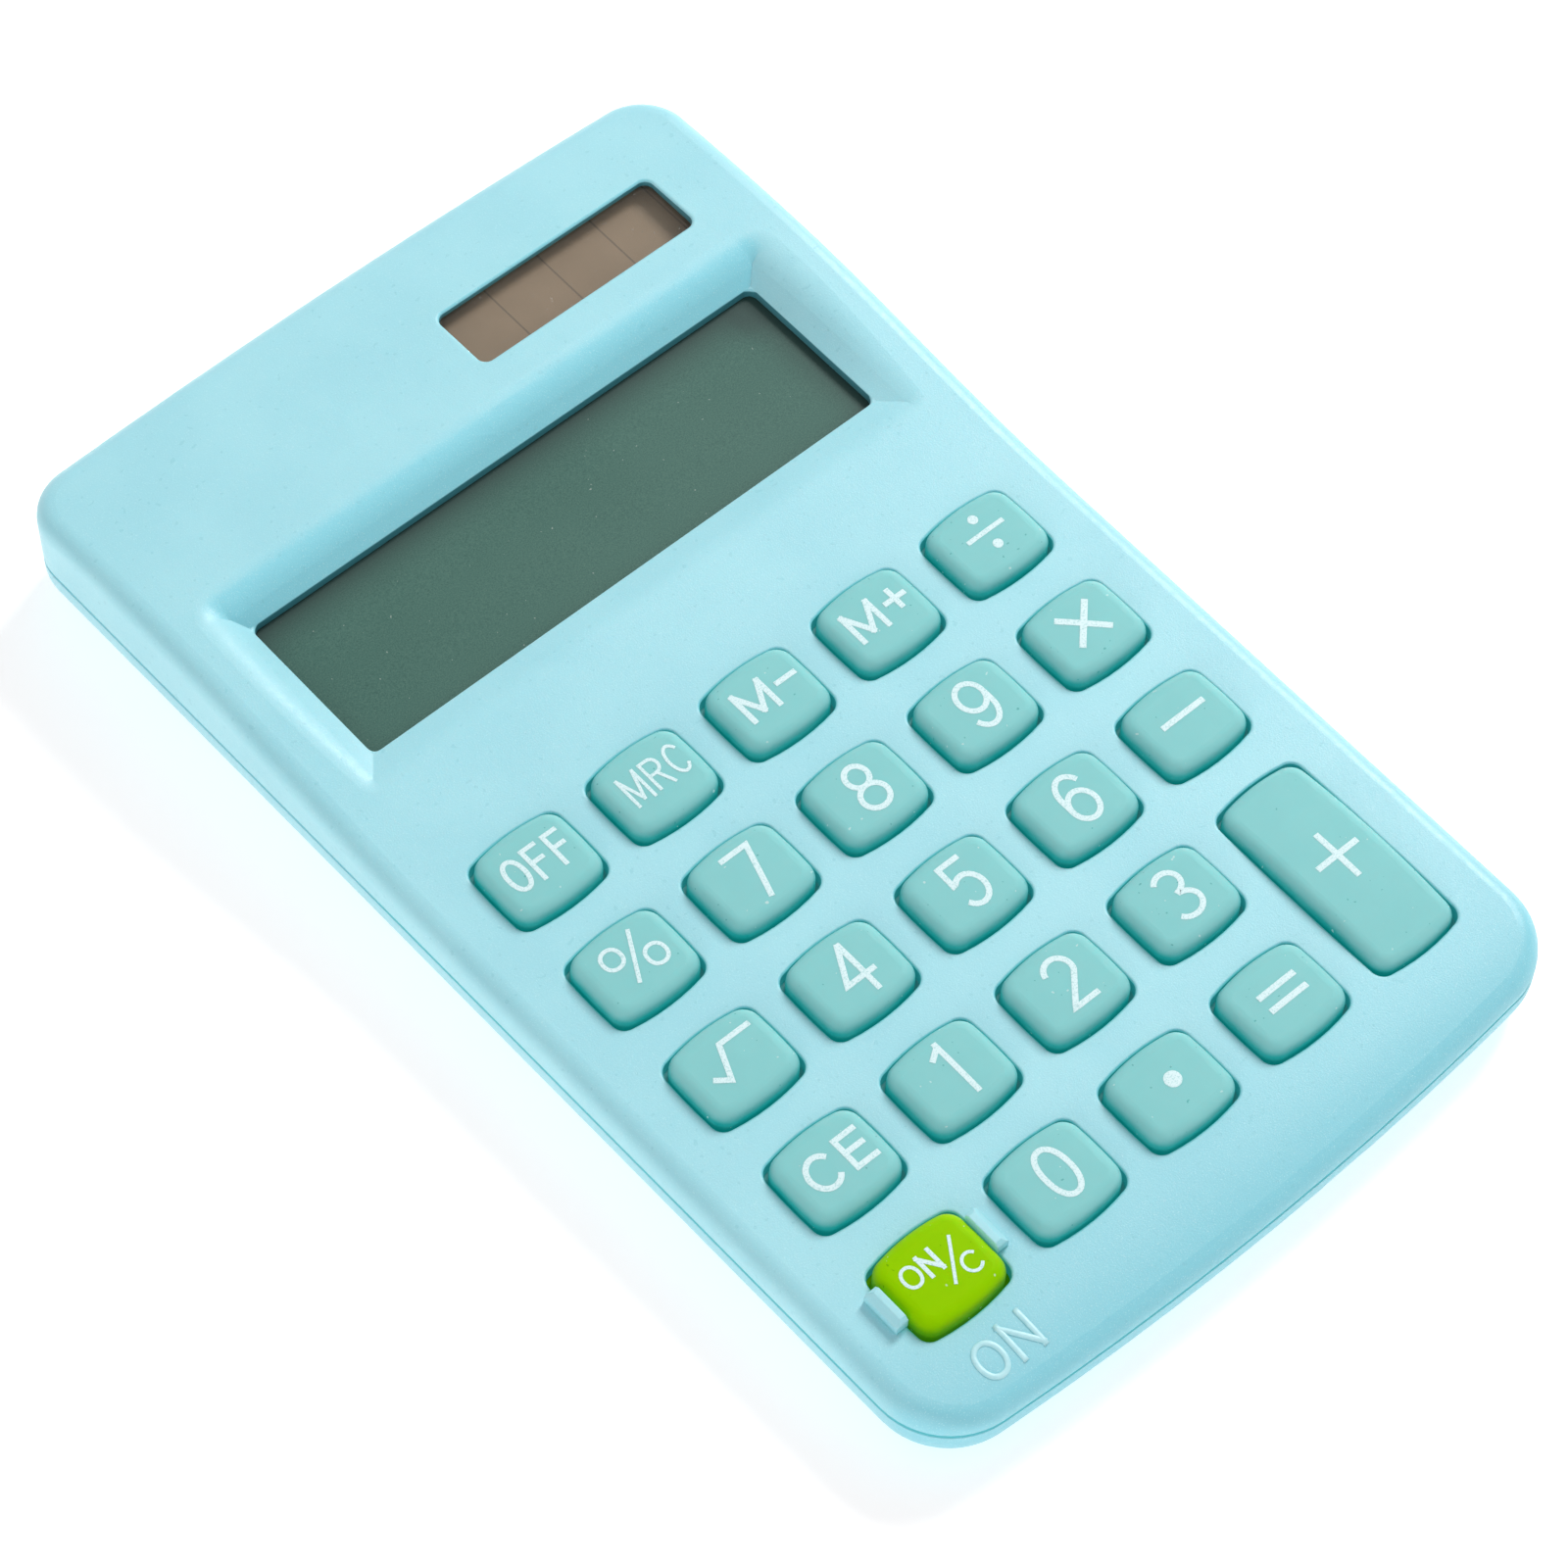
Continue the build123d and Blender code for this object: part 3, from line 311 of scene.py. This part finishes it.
def printed_ink():
    """White screen print: a little uneven in cover, with the mesh of the screen just showing."""
    s = Shader("printed_ink")
    cover = s.ramp(s.noise(0.14, detail=3), 0.0, 1.0, 0.32, 0.52)
    colour = s.mix(cover, (0.50, 0.76, 0.77), (0.75, 0.93, 0.95))
    grain = s.bump(s.noise(0.09, detail=2), 0.008, 0.8)
    return s.surface(base_color=colour, roughness=0.6, normal=grain)


def raised_plastic():
    """The case's own plastic on the raised word, painted a shade paler as painted light where the word
    catches the light, patchy in tone.
    """
    s = Shader("raised_plastic")
    worn = s.ramp(s.noise(0.7, detail=3), 0.0, 1.0, 0.3, 0.7)
    colour = s.mix(worn, (0.47, 0.80, 0.86), (0.56, 0.87, 0.92))
    grain = s.bump(s.noise(0.12, detail=3), 0.006, 0.8)
    return s.surface(base_color=colour, roughness=0.34, normal=grain)


def display_film():
    """Grey-green liquid crystal panel under a polariser with a fine anti-glare grain, and a painted shadow
    along the walls towards the upper right.
    """
    s = Shader("display_film")
    grain = s.noise(0.13, detail=2, roughness=0.7)
    cloud = s.ramp(s.noise(14, detail=2), 0.0, 1.0, 0.3, 0.7)
    colour = s.mix(cloud, (0.030, 0.118, 0.090), (0.038, 0.130, 0.100))
    colour = s.mix(s.ramp(grain, 0.0, 0.55, 0.45, 0.72), colour, (0.085, 0.185, 0.140))
    colour = s.mix(s.ramp(grain, 0.55, 0.0, 0.28, 0.48), colour, (0.008, 0.058, 0.044))
    speck = s.ramp(s.noise(0.30, detail=0), 0.0, 1.0, 0.86, 0.88)
    colour = s.mix(s.product(speck, 0.6), colour, (0.35, 0.42, 0.38))
    # Painted shadow beside the window's upper and right-hand walls.
    colour = s.mix(s.shadow_in_recess(5, 0.8), colour, (0.004, 0.022, 0.020))
    return s.surface(
        base_color=colour, roughness=s.ramp(grain, 0.50, 0.60), normal=s.bump(grain, 0.006, 0.5),
    )


def solar_film():
    """Brown amorphous silicon in four cells, parted by thin dark lines, with faint grain."""
    s = Shader("solar_film")
    low, high = extent("solar_cell", right)
    margin = 1.1 * MM
    cells = 4
    width = (high - low - 2 * margin) / cells
    across = s.math("DIVIDE", s.along(right, right * (low + margin)), width)
    to_line = s.math("ABSOLUTE", s.math("SUBTRACT", s.math("FRACT", s.math("ADD", across, 0.5)), 0.5))
    line = s.ramp(to_line, 1.0, 0.0, 0.010, 0.020)
    cloud = s.ramp(s.noise(5, detail=4), 0.0, 1.0, 0.3, 0.7)
    colour = s.mix(cloud, (0.300, 0.200, 0.128), (0.325, 0.218, 0.142))
    colour = s.mix(s.product(line, 0.5), colour, (0.07, 0.05, 0.04))
    grain = s.noise(0.1, detail=2)
    colour = s.mix(s.product(s.ramp(grain, 0.0, 1.0, 0.5, 0.8), 0.3), colour, (0.36, 0.26, 0.18))
    return s.surface(base_color=colour, roughness=0.4, normal=s.bump(grain, 0.004, 0.5))


def clear_glass():
    """Window glass: lets light straight through and mirrors more at a low angle, with faint dust."""
    s = Shader("clear_glass")
    through = s.node("BsdfTransparent", {"Color": (0.96, 0.975, 0.97, 1)}).outputs["BSDF"]
    smear = s.ramp(s.noise(1.2, detail=4), 0.02, 0.06, 0.3, 0.7)
    shine = s.node("BsdfGlossy", {"Color": (1, 1, 1, 1), "Roughness": smear}).outputs["BSDF"]
    outer = s.math("SUBTRACT", 1.0, s.node("NewGeometry").outputs["Backfacing"])
    mirror = s.product(s.node("Fresnel", {"IOR": 1.5}).outputs["Fac"], outer)
    glass = s.node("MixShader", {0: mirror, 1: through, 2: shine}).outputs["Shader"]
    dust = s.node("BsdfDiffuse", {"Color": (0.75, 0.75, 0.72, 1)}).outputs["BSDF"]
    film = s.ramp(s.noise(0.35, detail=1), 0.005, 0.20, 0.70, 0.85)
    return s.close(s.node("MixShader", {0: film, 1: glass, 2: dust}).outputs["Shader"])


def brushed_metal(name, colour, bright):
    """Plated metal with fine drawing marks and a few darker, duller patches."""
    s = Shader(name)
    marks = s.noise(0.25, detail=4, squeeze=(1, 6, 6))
    tarnish = s.ramp(s.noise(2.2, detail=4), 0.0, 1.0, 0.45, 0.75)
    shade = s.mix(tarnish, bright, colour)
    roughness = s.ramp(marks, 0.20, 0.42, 0.3, 0.7)
    return s.surface(
        base_color=shade, metallic=1.0, roughness=roughness, normal=s.bump(marks, 0.004, 0.6),
    )


def speckled(name, colour, second, roughness, size_mm, coat=0.0):
    """Moulded, printed or lacquered matter: two close shades, a dull sheen and a light texture."""
    s = Shader(name)
    patch = s.ramp(s.noise(size_mm, detail=4), 0.0, 1.0, 0.35, 0.65)
    shade = s.mix(patch, colour, second)
    worn = s.product(s.edges(0.2), 0.25)
    shade = s.mix(worn, shade, tuple(min(1.0, part * 1.6 + 0.05) for part in second))
    dull = s.ramp(s.noise(size_mm * 2, detail=3), roughness - 0.06, roughness + 0.06, 0.3, 0.7)
    return s.surface(
        base_color=shade, roughness=dull, normal=s.bump(s.noise(size_mm / 3, detail=3), 0.006, 0.7),
        coat_weight=coat, coat_roughness=0.15,
    )


def board_laminate():
    """Green solder mask over a glass weave, with copper runs showing through as paler lines."""
    s = Shader("board_laminate")
    weave = s.node(
        "TexWave", {"Vector": s.place, "Scale": 0.5 / MM, "Distortion": 1.0}, bands_direction="X"
    ).outputs["Fac"]
    runs = s.node(
        "TexVoronoi", {"Vector": s.place, "Scale": 0.35 / MM, "Randomness": 0.35},
        feature="DISTANCE_TO_EDGE", distance="MANHATTAN",
    ).outputs["Distance"]
    colour = s.mix(s.ramp(weave, 0.0, 1.0), (0.012, 0.13, 0.04), (0.018, 0.16, 0.05))
    colour = s.mix(s.ramp(runs, 0.8, 0.0, 0.05, 0.09), colour, (0.05, 0.30, 0.09))
    return s.surface(base_color=colour, roughness=0.35, normal=s.bump(runs, 0.01, 0.3), coat_weight=0.3)


# Each silicone as lit and shaded copies: the flank colour is painted shade, the top colour carries a
# painted sheen, the bright colour is a painted highlight and the glow colour a painted glow.
TEAL_SHADED_FLANK = (0.010, 0.270, 0.260)
TEAL_SHEENED_TOP = (0.270, 0.625, 0.625)
TEAL_HIGHLIGHT = (0.360, 0.730, 0.710)
TEAL_PAINTED_GLOW = (0.0, 0.34, 0.32)
GREEN_SHADED_FLANK = (0.060, 0.230, 0.000)
GREEN_SHEENED_TOP = (0.295, 0.610, 0.000)
GREEN_HIGHLIGHT = (0.440, 0.760, 0.000)
GREEN_PAINTED_GLOW = (0.06, 0.30, 0.0)

materials = {
    "case_plastic": case_plastic(),
    "key_silicone": silicone("key_silicone", TEAL_SHADED_FLANK, TEAL_SHEENED_TOP, TEAL_HIGHLIGHT, TEAL_PAINTED_GLOW),
    "on_key_silicone": silicone("on_key_silicone", GREEN_SHADED_FLANK, GREEN_SHEENED_TOP, GREEN_HIGHLIGHT, GREEN_PAINTED_GLOW),
    "clear_silicone": silicone("clear_silicone", TEAL_SHADED_FLANK, TEAL_SHEENED_TOP, TEAL_HIGHLIGHT, TEAL_PAINTED_GLOW),
    "lcd_glass": display_film(),
    "white_plastic": speckled("white_plastic", (0.74, 0.74, 0.72), (0.80, 0.80, 0.78), 0.45, 1.5),
    "ribbon_film": speckled("ribbon_film", (0.50, 0.28, 0.07), (0.58, 0.34, 0.10), 0.30, 0.8, 0.3),
    "clear_glass": clear_glass(),
    "solar_film": solar_film(),
    "board_laminate": board_laminate(),
    "pad_carbon": speckled("pad_carbon", (0.020, 0.020, 0.020), (0.035, 0.035, 0.036), 0.65, 0.3),
    "black_resin": speckled("black_resin", (0.010, 0.010, 0.011), (0.022, 0.021, 0.020), 0.25, 1.0, 0.4),
    "component_body": speckled("component_body", (0.30, 0.17, 0.05), (0.36, 0.21, 0.08), 0.35, 0.6, 0.5),
    "screw_steel": brushed_metal("screw_steel", (0.42, 0.42, 0.43), (0.62, 0.62, 0.61)),
    "battery_steel": brushed_metal("battery_steel", (0.55, 0.55, 0.54), (0.74, 0.74, 0.73)),
    "contact_metal": brushed_metal("contact_metal", (0.52, 0.50, 0.42), (0.72, 0.70, 0.62)),
    "black_insulation": speckled("black_insulation", (0.012, 0.012, 0.013), (0.02, 0.02, 0.02), 0.4, 0.7),
    "red_insulation": speckled("red_insulation", (0.42, 0.010, 0.012), (0.50, 0.018, 0.016), 0.4, 0.7),
}
ink = printed_ink()
raised = raised_plastic()

for part in record["subparts"]:
    mesh = frame["nodes"][part["node"]].data
    mesh.materials.clear()
    mesh.materials.append(materials[part["material_slot"]])


# ------------------------------------------------------------------ strokes of the legends
def arc(x, y, rx, ry, start, end, steps=18, square=1.0):
    """Points along an ellipse from one angle to another; square below 1 fills its corners a little."""
    points = []
    for step in range(steps + 1):
        turn = radians(start + (end - start) * step / steps)
        c, s = cos(turn), sin(turn)
        points.append((x + rx * abs(c) ** square * (1 if c >= 0 else -1),
                       y + ry * abs(s) ** square * (1 if s >= 0 else -1)))
    return points


def oval(x, y, rx, ry, square=1.0):
    return arc(x, y, rx, ry, 90, 450, 40, square)


# Centre lines of each sign, in a box that reaches from -1 to 1 both ways.
SIGNS = {
    "0": [oval(0, 0, 1, 1, 0.9)],
    "1": [[(0.25, 1.1), (0.25, -1.1)], [(-0.55, 0.72), (0.2, 1.0)]],
    "2": [arc(0, 0.45, 1, 0.55, 170, -28) + [(-1, -1), (1.05, -1)]],
    "3": [arc(-0.1, 0.53, 0.95, 0.47, 150, -80) + arc(-0.1, -0.49, 1.1, 0.51, 80, -152)],
    "4": [[(1.1, -0.44), (-1.1, -0.44), (0.35, 1.0)], [(0.45, 1.0), (0.45, -1.1)]],
    "5": [[(0.95, 1), (-0.8, 1), (-0.85, 0.14)] + arc(0, -0.34, 1, 0.66, 132, -150)],
    "6": [oval(0, -0.37, 1, 0.63), arc(0.05, 0.2, 1.05, 0.8, 28, 180, 14) + [(-1, -0.37)]],
    "7": [[(-1.05, 1), (1, 1), (-0.2, -1.1)]],
    "8": [oval(0, 0.52, 0.82, 0.48), oval(0, -0.48, 1.02, 0.52)],
    "9": [oval(0, 0.37, 1, 0.63), arc(-0.05, -0.2, 1.05, 0.8, 208, 360, 14) + [(1, 0.37)]],
    "C": [arc(0, 0, 1, 1, 36, 324, 24)],
    "E": [[(1, 1), (-0.9, 1), (-0.9, -1), (1.05, -1)], [(-0.9, 0.05), (0.8, 0.05)]],
    "F": [[(1, 1), (-0.9, 1), (-0.9, -1.1)], [(-0.9, 0.05), (0.75, 0.05)]],
    "M": [[(-1, -1.1), (-1, 1.0)], [(-0.98, 1), (0, -0.85)], [(0, -0.85), (0.98, 1)],
          [(1, 1.0), (1, -1.1)]],
    "N": [[(-1, -1.1), (-1, 1.1)], [(-1, 1), (1, -1)], [(1, -1.1), (1, 1.1)]],
    "O": [oval(0, 0, 1, 1, 0.92)],
    "R": [[(-0.95, -1.1), (-0.95, 1), (0.1, 1)] + arc(0.1, 0.5, 0.85, 0.5, 80, -90, 12) + [(-0.9, 0.0)],
          [(0.1, -0.02), (1, -1.1)]],
    "-": [[(-1, 0), (1, 0)]],
    "+": [[(-1, 0), (1, 0)], [(0, -1), (0, 1)]],
    "x": [[(-1, -1), (1, 1)], [(-1, 1), (1, -1)]],
    "=": [[(-1, 1), (1, 1)], [(-1, -1), (1, -1)]],
    "/": [[(-1, -1), (1, 1)]],
    "root": [[(-1, -0.49), (-0.63, -1), (-0.12, 1), (1, 1)]],
}

# What each key carries: sign, middle x and y, width, height and stroke, in millimetres.
DIGIT = (0.2, 0.13, 2.95, 5.0, 0.5)
LEGENDS = {f"key_{digit}": [(digit, *DIGIT)] for digit in "0123456789"}
LEGENDS.update({
    "key_off": [("O", -2.1, 0.17, 2.0, 3.35, 0.42), ("F", 0.08, 0.17, 1.7, 3.3, 0.42),
                ("F", 2.26, 0.17, 1.7, 3.3, 0.42)],
    "key_mrc": [("M", -1.83, 0.3, 1.95, 3.1, 0.3), ("R", 0.4, 0.3, 1.75, 3.1, 0.3),
                ("C", 2.55, 0.3, 1.75, 3.15, 0.3)],
    "key_memory_minus": [("M", -1.13, 0.34, 3.2, 3.25, 0.5), ("-", 2.2, 0.42, 2.2, 0.5, 0.5)],
    "key_memory_plus": [("M", -1.36, 0.34, 3.2, 3.25, 0.5), ("+", 2.05, 0.42, 2.3, 2.3, 0.5)],
    "key_divide": [("-", 0.12, 0.45, 4.0, 0.45, 0.45)],
    "key_percent": [("0", -1.4, 1.2, 2.1, 2.25, 0.36), ("0", 1.7, -0.6, 2.1, 2.25, 0.36),
                    ("/", 0.15, 0.38, 2.6, 4.4, 0.36)],
    "key_times": [("x", 0.04, 0.26, 3.6, 3.6, 0.58)],
    "key_root": [("root", 0.3, 0.32, 5.6, 3.5, 0.48)],
    "key_minus": [("-", 0.1, 0.35, 4.65, 0.55, 0.55)],
    "key_plus": [("+", 0.2, 0.36, 4.5, 5.0, 0.55)],
    "key_ce": [("C", -1.3, 0.0, 3.1, 3.45, 0.5), ("E", 1.95, 0.05, 2.5, 3.35, 0.5)],
    "key_equals": [("=", 0.15, 0.15, 4.0, 2.0, 0.55)],
    "key_point": [],
    "key_on_clear": [("O", -2.2, 0.8, 1.75, 2.1, 0.3), ("N", -0.32, 0.8, 1.55, 2.1, 0.36),
                     ("/", 1.17, -0.1, 2.5, 3.5, 0.29), ("C", 2.23, -1.19, 1.85, 1.95, 0.28)],
})
# Round dots: middle x and y, and radius.
DOTS = {
    "key_divide": [(0.12, 2.0, 0.46), (0.12, -1.1, 0.46)],
    "key_point": [(0.35, 0.17, 0.75)],
}
STROKE_STEP = 0.35              # longest straight stretch, so that strokes follow the domed top
STROKE_LIFT = 0.002             # each stroke lies this much over the last, so that none coincide
INK_HEIGHT = 0.03
INK_SINK = 0.03                 # how far the print reaches into the key, so that no gap shows
RAY_START = 5.0                 # rays are cast down from this far above the origin


def finer(points, step):
    """The same path with points no further apart than the step."""
    fine = [points[0]]
    for (x0, y0), (x1, y1) in zip(points, points[1:]):
        parts = max(1, round(hypot(x1 - x0, y1 - y0) / step + 0.499))
        fine += [(x0 + (x1 - x0) * part / parts, y0 + (y1 - y0) * part / parts)
                 for part in range(1, parts + 1)]
    return fine


def side_steps(points, closed):
    """For every point of a path, its sideways direction, lengthened at corners to keep the width."""
    steps = []
    count = len(points)
    for index, (x, y) in enumerate(points):
        before = points[(index - 1) % count] if closed or index else None
        after = points[(index + 1) % count] if closed or index < count - 1 else None
        headings = []
        for (xa, ya), (xb, yb) in ((before or (x, y), (x, y)), ((x, y), after or (x, y))):
            if hypot(xb - xa, yb - ya) > 1e-6:
                headings.append(atan2(yb - ya, xb - xa))
        turn = (headings[-1] - headings[0] + pi) % (2 * pi) - pi
        heading = headings[0] + turn / 2
        stretch = min(1 / max(cos(turn / 2), 0.3), 1.9)
        steps.append((-sin(heading) * stretch, cos(heading) * stretch))
    return steps


class Relief:
    """A mesh of raised strokes and dots on a surface, which is given as point(x, y, height)."""

    def __init__(self, point, height, sink):
        self.point = point
        self.height = height
        self.sink = sink
        self.strokes = 0
        self.vertices = []
        self.faces = []

    def rings(self, rings, closed):
        """Joins rings of equal size into a tube, capped at both ends unless it's closed."""
        first = len(self.vertices)
        size = len(rings[0])
        for ring in rings:
            self.vertices += ring
        spans = len(rings) if closed else len(rings) - 1
        for span in range(spans):
            here = first + span * size
            there = first + (span + 1) % len(rings) * size
            for index in range(size):
                following = (index + 1) % size
                self.faces.append((here + index, here + following, there + following, there + index))
        if not closed:
            last = first + (len(rings) - 1) * size
            self.faces.append(tuple(reversed(range(first, first + size))))
            self.faces.append(tuple(range(last, last + size)))

    def stroke(self, path, width, profile):
        """Runs a cross-section along a path; the profile lists (share of the half width, height)."""
        closed = hypot(path[0][0] - path[-1][0], path[0][1] - path[-1][1]) < 1e-6
        path = finer(path, STROKE_STEP)
        if closed:
            path = path[:-1]
        half = width / 2
        lift = STROKE_LIFT * self.strokes
        self.strokes += 1
        rings = []
        for (x, y), (sx, sy) in zip(path, side_steps(path, closed)):
            rings.append([self.point(x + sx * share * half, y + sy * share * half, height + lift)
                          for share, height in profile])
        self.rings(rings, closed)

    def dot(self, x, y, radius):
        """A round dot with a soft shoulder."""
        steps = 28
        shape = [(1.0, -self.sink), (1.0, self.height * 0.4), (0.9, self.height), (0.45, self.height)]
        rings = []
        for share, height in shape:
            rings.append([
                self.point(x + radius * share * cos(2 * pi * step / steps),
                           y + radius * share * sin(2 * pi * step / steps), height)
                for step in range(steps)
            ])
        self.rings(rings, False)

    def sign(self, name, x, y, width, height, stroke, profile):
        """One sign of the given size, its strokes lengthened to square ends."""
        a = max(width - stroke, 0.0) / 2
        b = max(height - stroke, 0.0) / 2
        for line in SIGNS[name]:
            path = [(x + px * a, y + py * b) for px, py in line]
            if hypot(path[0][0] - path[-1][0], path[0][1] - path[-1][1]) > 1e-6 and len(line) < 6:
                path = longer(path, stroke / 2)
            self.stroke(path, stroke, profile)

    def piece(self, name, material):
        mesh = bpy.data.meshes.new(name)
        mesh.from_pydata(self.vertices, [], self.faces)
        mesh.materials.append(material)
        obj = bpy.data.objects.new(name, mesh)
        bpy.context.scene.collection.objects.link(obj)
        return obj


def longer(path, extra):
    """The path with its first and last stretches lengthened."""
    (x0, y0), (x1, y1) = path[0], path[1]
    (x2, y2), (x3, y3) = path[-2], path[-1]
    first = hypot(x0 - x1, y0 - y1)
    last = hypot(x3 - x2, y3 - y2)
    start = (x0 + (x0 - x1) / first * extra, y0 + (y0 - y1) / first * extra)
    end = (x3 + (x3 - x2) / last * extra, y3 + (y3 - y2) / last * extra)
    return [start, *path[1:-1], end]


def surface_of(node):
    """The node's mesh, ready for rays to be cast at it."""
    mesh = frame["nodes"][node].data
    return BVHTree.FromPolygons([v.co for v in mesh.vertices], [p.vertices for p in mesh.polygons])


def laid_on(node, origin):
    """Gives points over a node's face by their place beside an origin and height, in millimetres."""
    skin = surface_of(node)

    def point(x, y, height):
        start = origin + right * (x * MM) + ahead * (y * MM) + up * (RAY_START * MM)
        return skin.ray_cast(start, -up)[0] + up * (height * MM)

    return point


def print_legend(key):
    """The white print on one key, laid on the key's domed top."""
    print_on = Relief(laid_on(key, key_top(key)), INK_HEIGHT, INK_SINK)
    profile = [(-1.0, -INK_SINK), (-1.0, INK_HEIGHT * 0.4), (-0.86, INK_HEIGHT),
               (0.86, INK_HEIGHT), (1.0, INK_HEIGHT * 0.4), (1.0, -INK_SINK)]
    for name, *size in LEGENDS[key]:
        print_on.sign(name, *size, profile)
    for dot in DOTS.get(key, []):
        print_on.dot(*dot)
    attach(print_on.piece("legend_" + key.removeprefix("key_"), ink), key)


for key in LEGENDS:
    print_legend(key)


# ------------------------------------------------------------------ raised word below the ON key
RAISED_HEIGHT = 0.16
RAISED_SINK = 0.10
RAISED_STROKE = 0.5
# Sign, place beside the middle of the ON key, width and height.
RAISED_WORD = [("O", -1.75, -7.7, 2.7, 3.4), ("N", 1.4, -7.65, 2.6, 3.4)]

word = Relief(laid_on("front_shell", key_top("key_on_clear")), RAISED_HEIGHT, RAISED_SINK)
ridge = [(-1.0, -RAISED_SINK)]
ridge += [(-cos(radians(turn)), RAISED_HEIGHT * sin(radians(turn))) for turn in range(20, 180, 20)]
ridge += [(1.0, -RAISED_SINK)]
for name, *size in RAISED_WORD:
    word.sign(name, *size, RAISED_STROKE, ridge)
raised_word = word.piece("raised_word", raised)
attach(raised_word, "case")
for polygon in raised_word.data.polygons:
    polygon.use_smooth = len(polygon.vertices) == 4


# ------------------------------------------------------------------ floor, light and camera
FLOOR_SIZE = 6.0
FLOOR_GAP = 0.2 * MM            # below the case, so that the two faces don't fight


def floor():
    """Plain white sweep under the calculator."""
    s = Shader("floor_white")
    patch = s.ramp(s.noise(40, detail=2), 0.0, 1.0, 0.3, 0.7)
    white = s.mix(patch, (0.93, 0.93, 0.93), (0.95, 0.95, 0.95))
    material = s.surface(
        base_color=white, roughness=0.8, emission_color=(1.0, 0.90, 0.89), emission_strength=0.42,
    )
    bpy.ops.mesh.primitive_plane_add(size=FLOOR_SIZE, location=(0, 0, -FLOOR_GAP))
    plane = bpy.context.object
    plane.name = "floor"
    plane.data.materials.append(material)


def world(strength):
    made = bpy.data.worlds.new("studio")
    made.use_nodes = True
    made.node_tree.nodes["Background"].inputs["Color"].default_value = (0.97, 0.99, 1.0, 1)
    made.node_tree.nodes["Background"].inputs["Strength"].default_value = strength
    bpy.context.scene.world = made


def soft_light(name, direction, distance, size, power):
    """A square soft light over the calculator, aimed at its middle."""
    light = bpy.data.lights.new(name, "AREA")
    light.shape = "SQUARE"
    light.size = size
    light.energy = power
    obj = bpy.data.objects.new(name, light)
    away = direction.normalized()
    obj.location = deck_middle + away * distance
    obj.rotation_euler = away.to_track_quat("Z", "Y").to_euler()
    bpy.context.scene.collection.objects.link(obj)


def camera():
    """The viewing angle: aimed at a point of the deck, from the keypad end and the left."""
    aim = deck_middle + right * (-4.05 * MM) + ahead * (17.05 * MM)
    distance = 395.96 * MM
    turn = radians(225.518)         # from the right, about the deck's upward direction
    height = radians(57.922)        # above the deck
    roll = radians(3.381)           # about the line of sight
    flat = right * cos(turn) + ahead * sin(turn)
    back = (flat * cos(height) + up * sin(height)).normalized()
    level = up.cross(back).normalized()
    upright = back.cross(level)
    x_axis = level * cos(roll) + upright * sin(roll)
    y_axis = upright * cos(roll) - level * sin(roll)
    data = bpy.data.cameras.new("camera")
    data.lens = 112.6
    data.sensor_width = 36.0
    data.clip_start = 0.01
    obj = bpy.data.objects.new("camera", data)
    axes = Matrix((x_axis, y_axis, back)).transposed()
    obj.matrix_world = Matrix.Translation(aim + back * distance) @ axes.to_4x4()
    bpy.context.scene.collection.objects.link(obj)
    bpy.context.scene.camera = obj


floor()
world(0.50)
soft_light("key_light", right * 1.2 + ahead * 0.4 + up * 1.1, distance=1.0, size=0.3, power=6.8)
soft_light("fill_light", -right * 1.4 - ahead * 0.7 + up * 0.4, distance=1.1, size=0.8, power=4.2)
camera()
bpy.context.scene.view_settings.view_transform = "Standard"
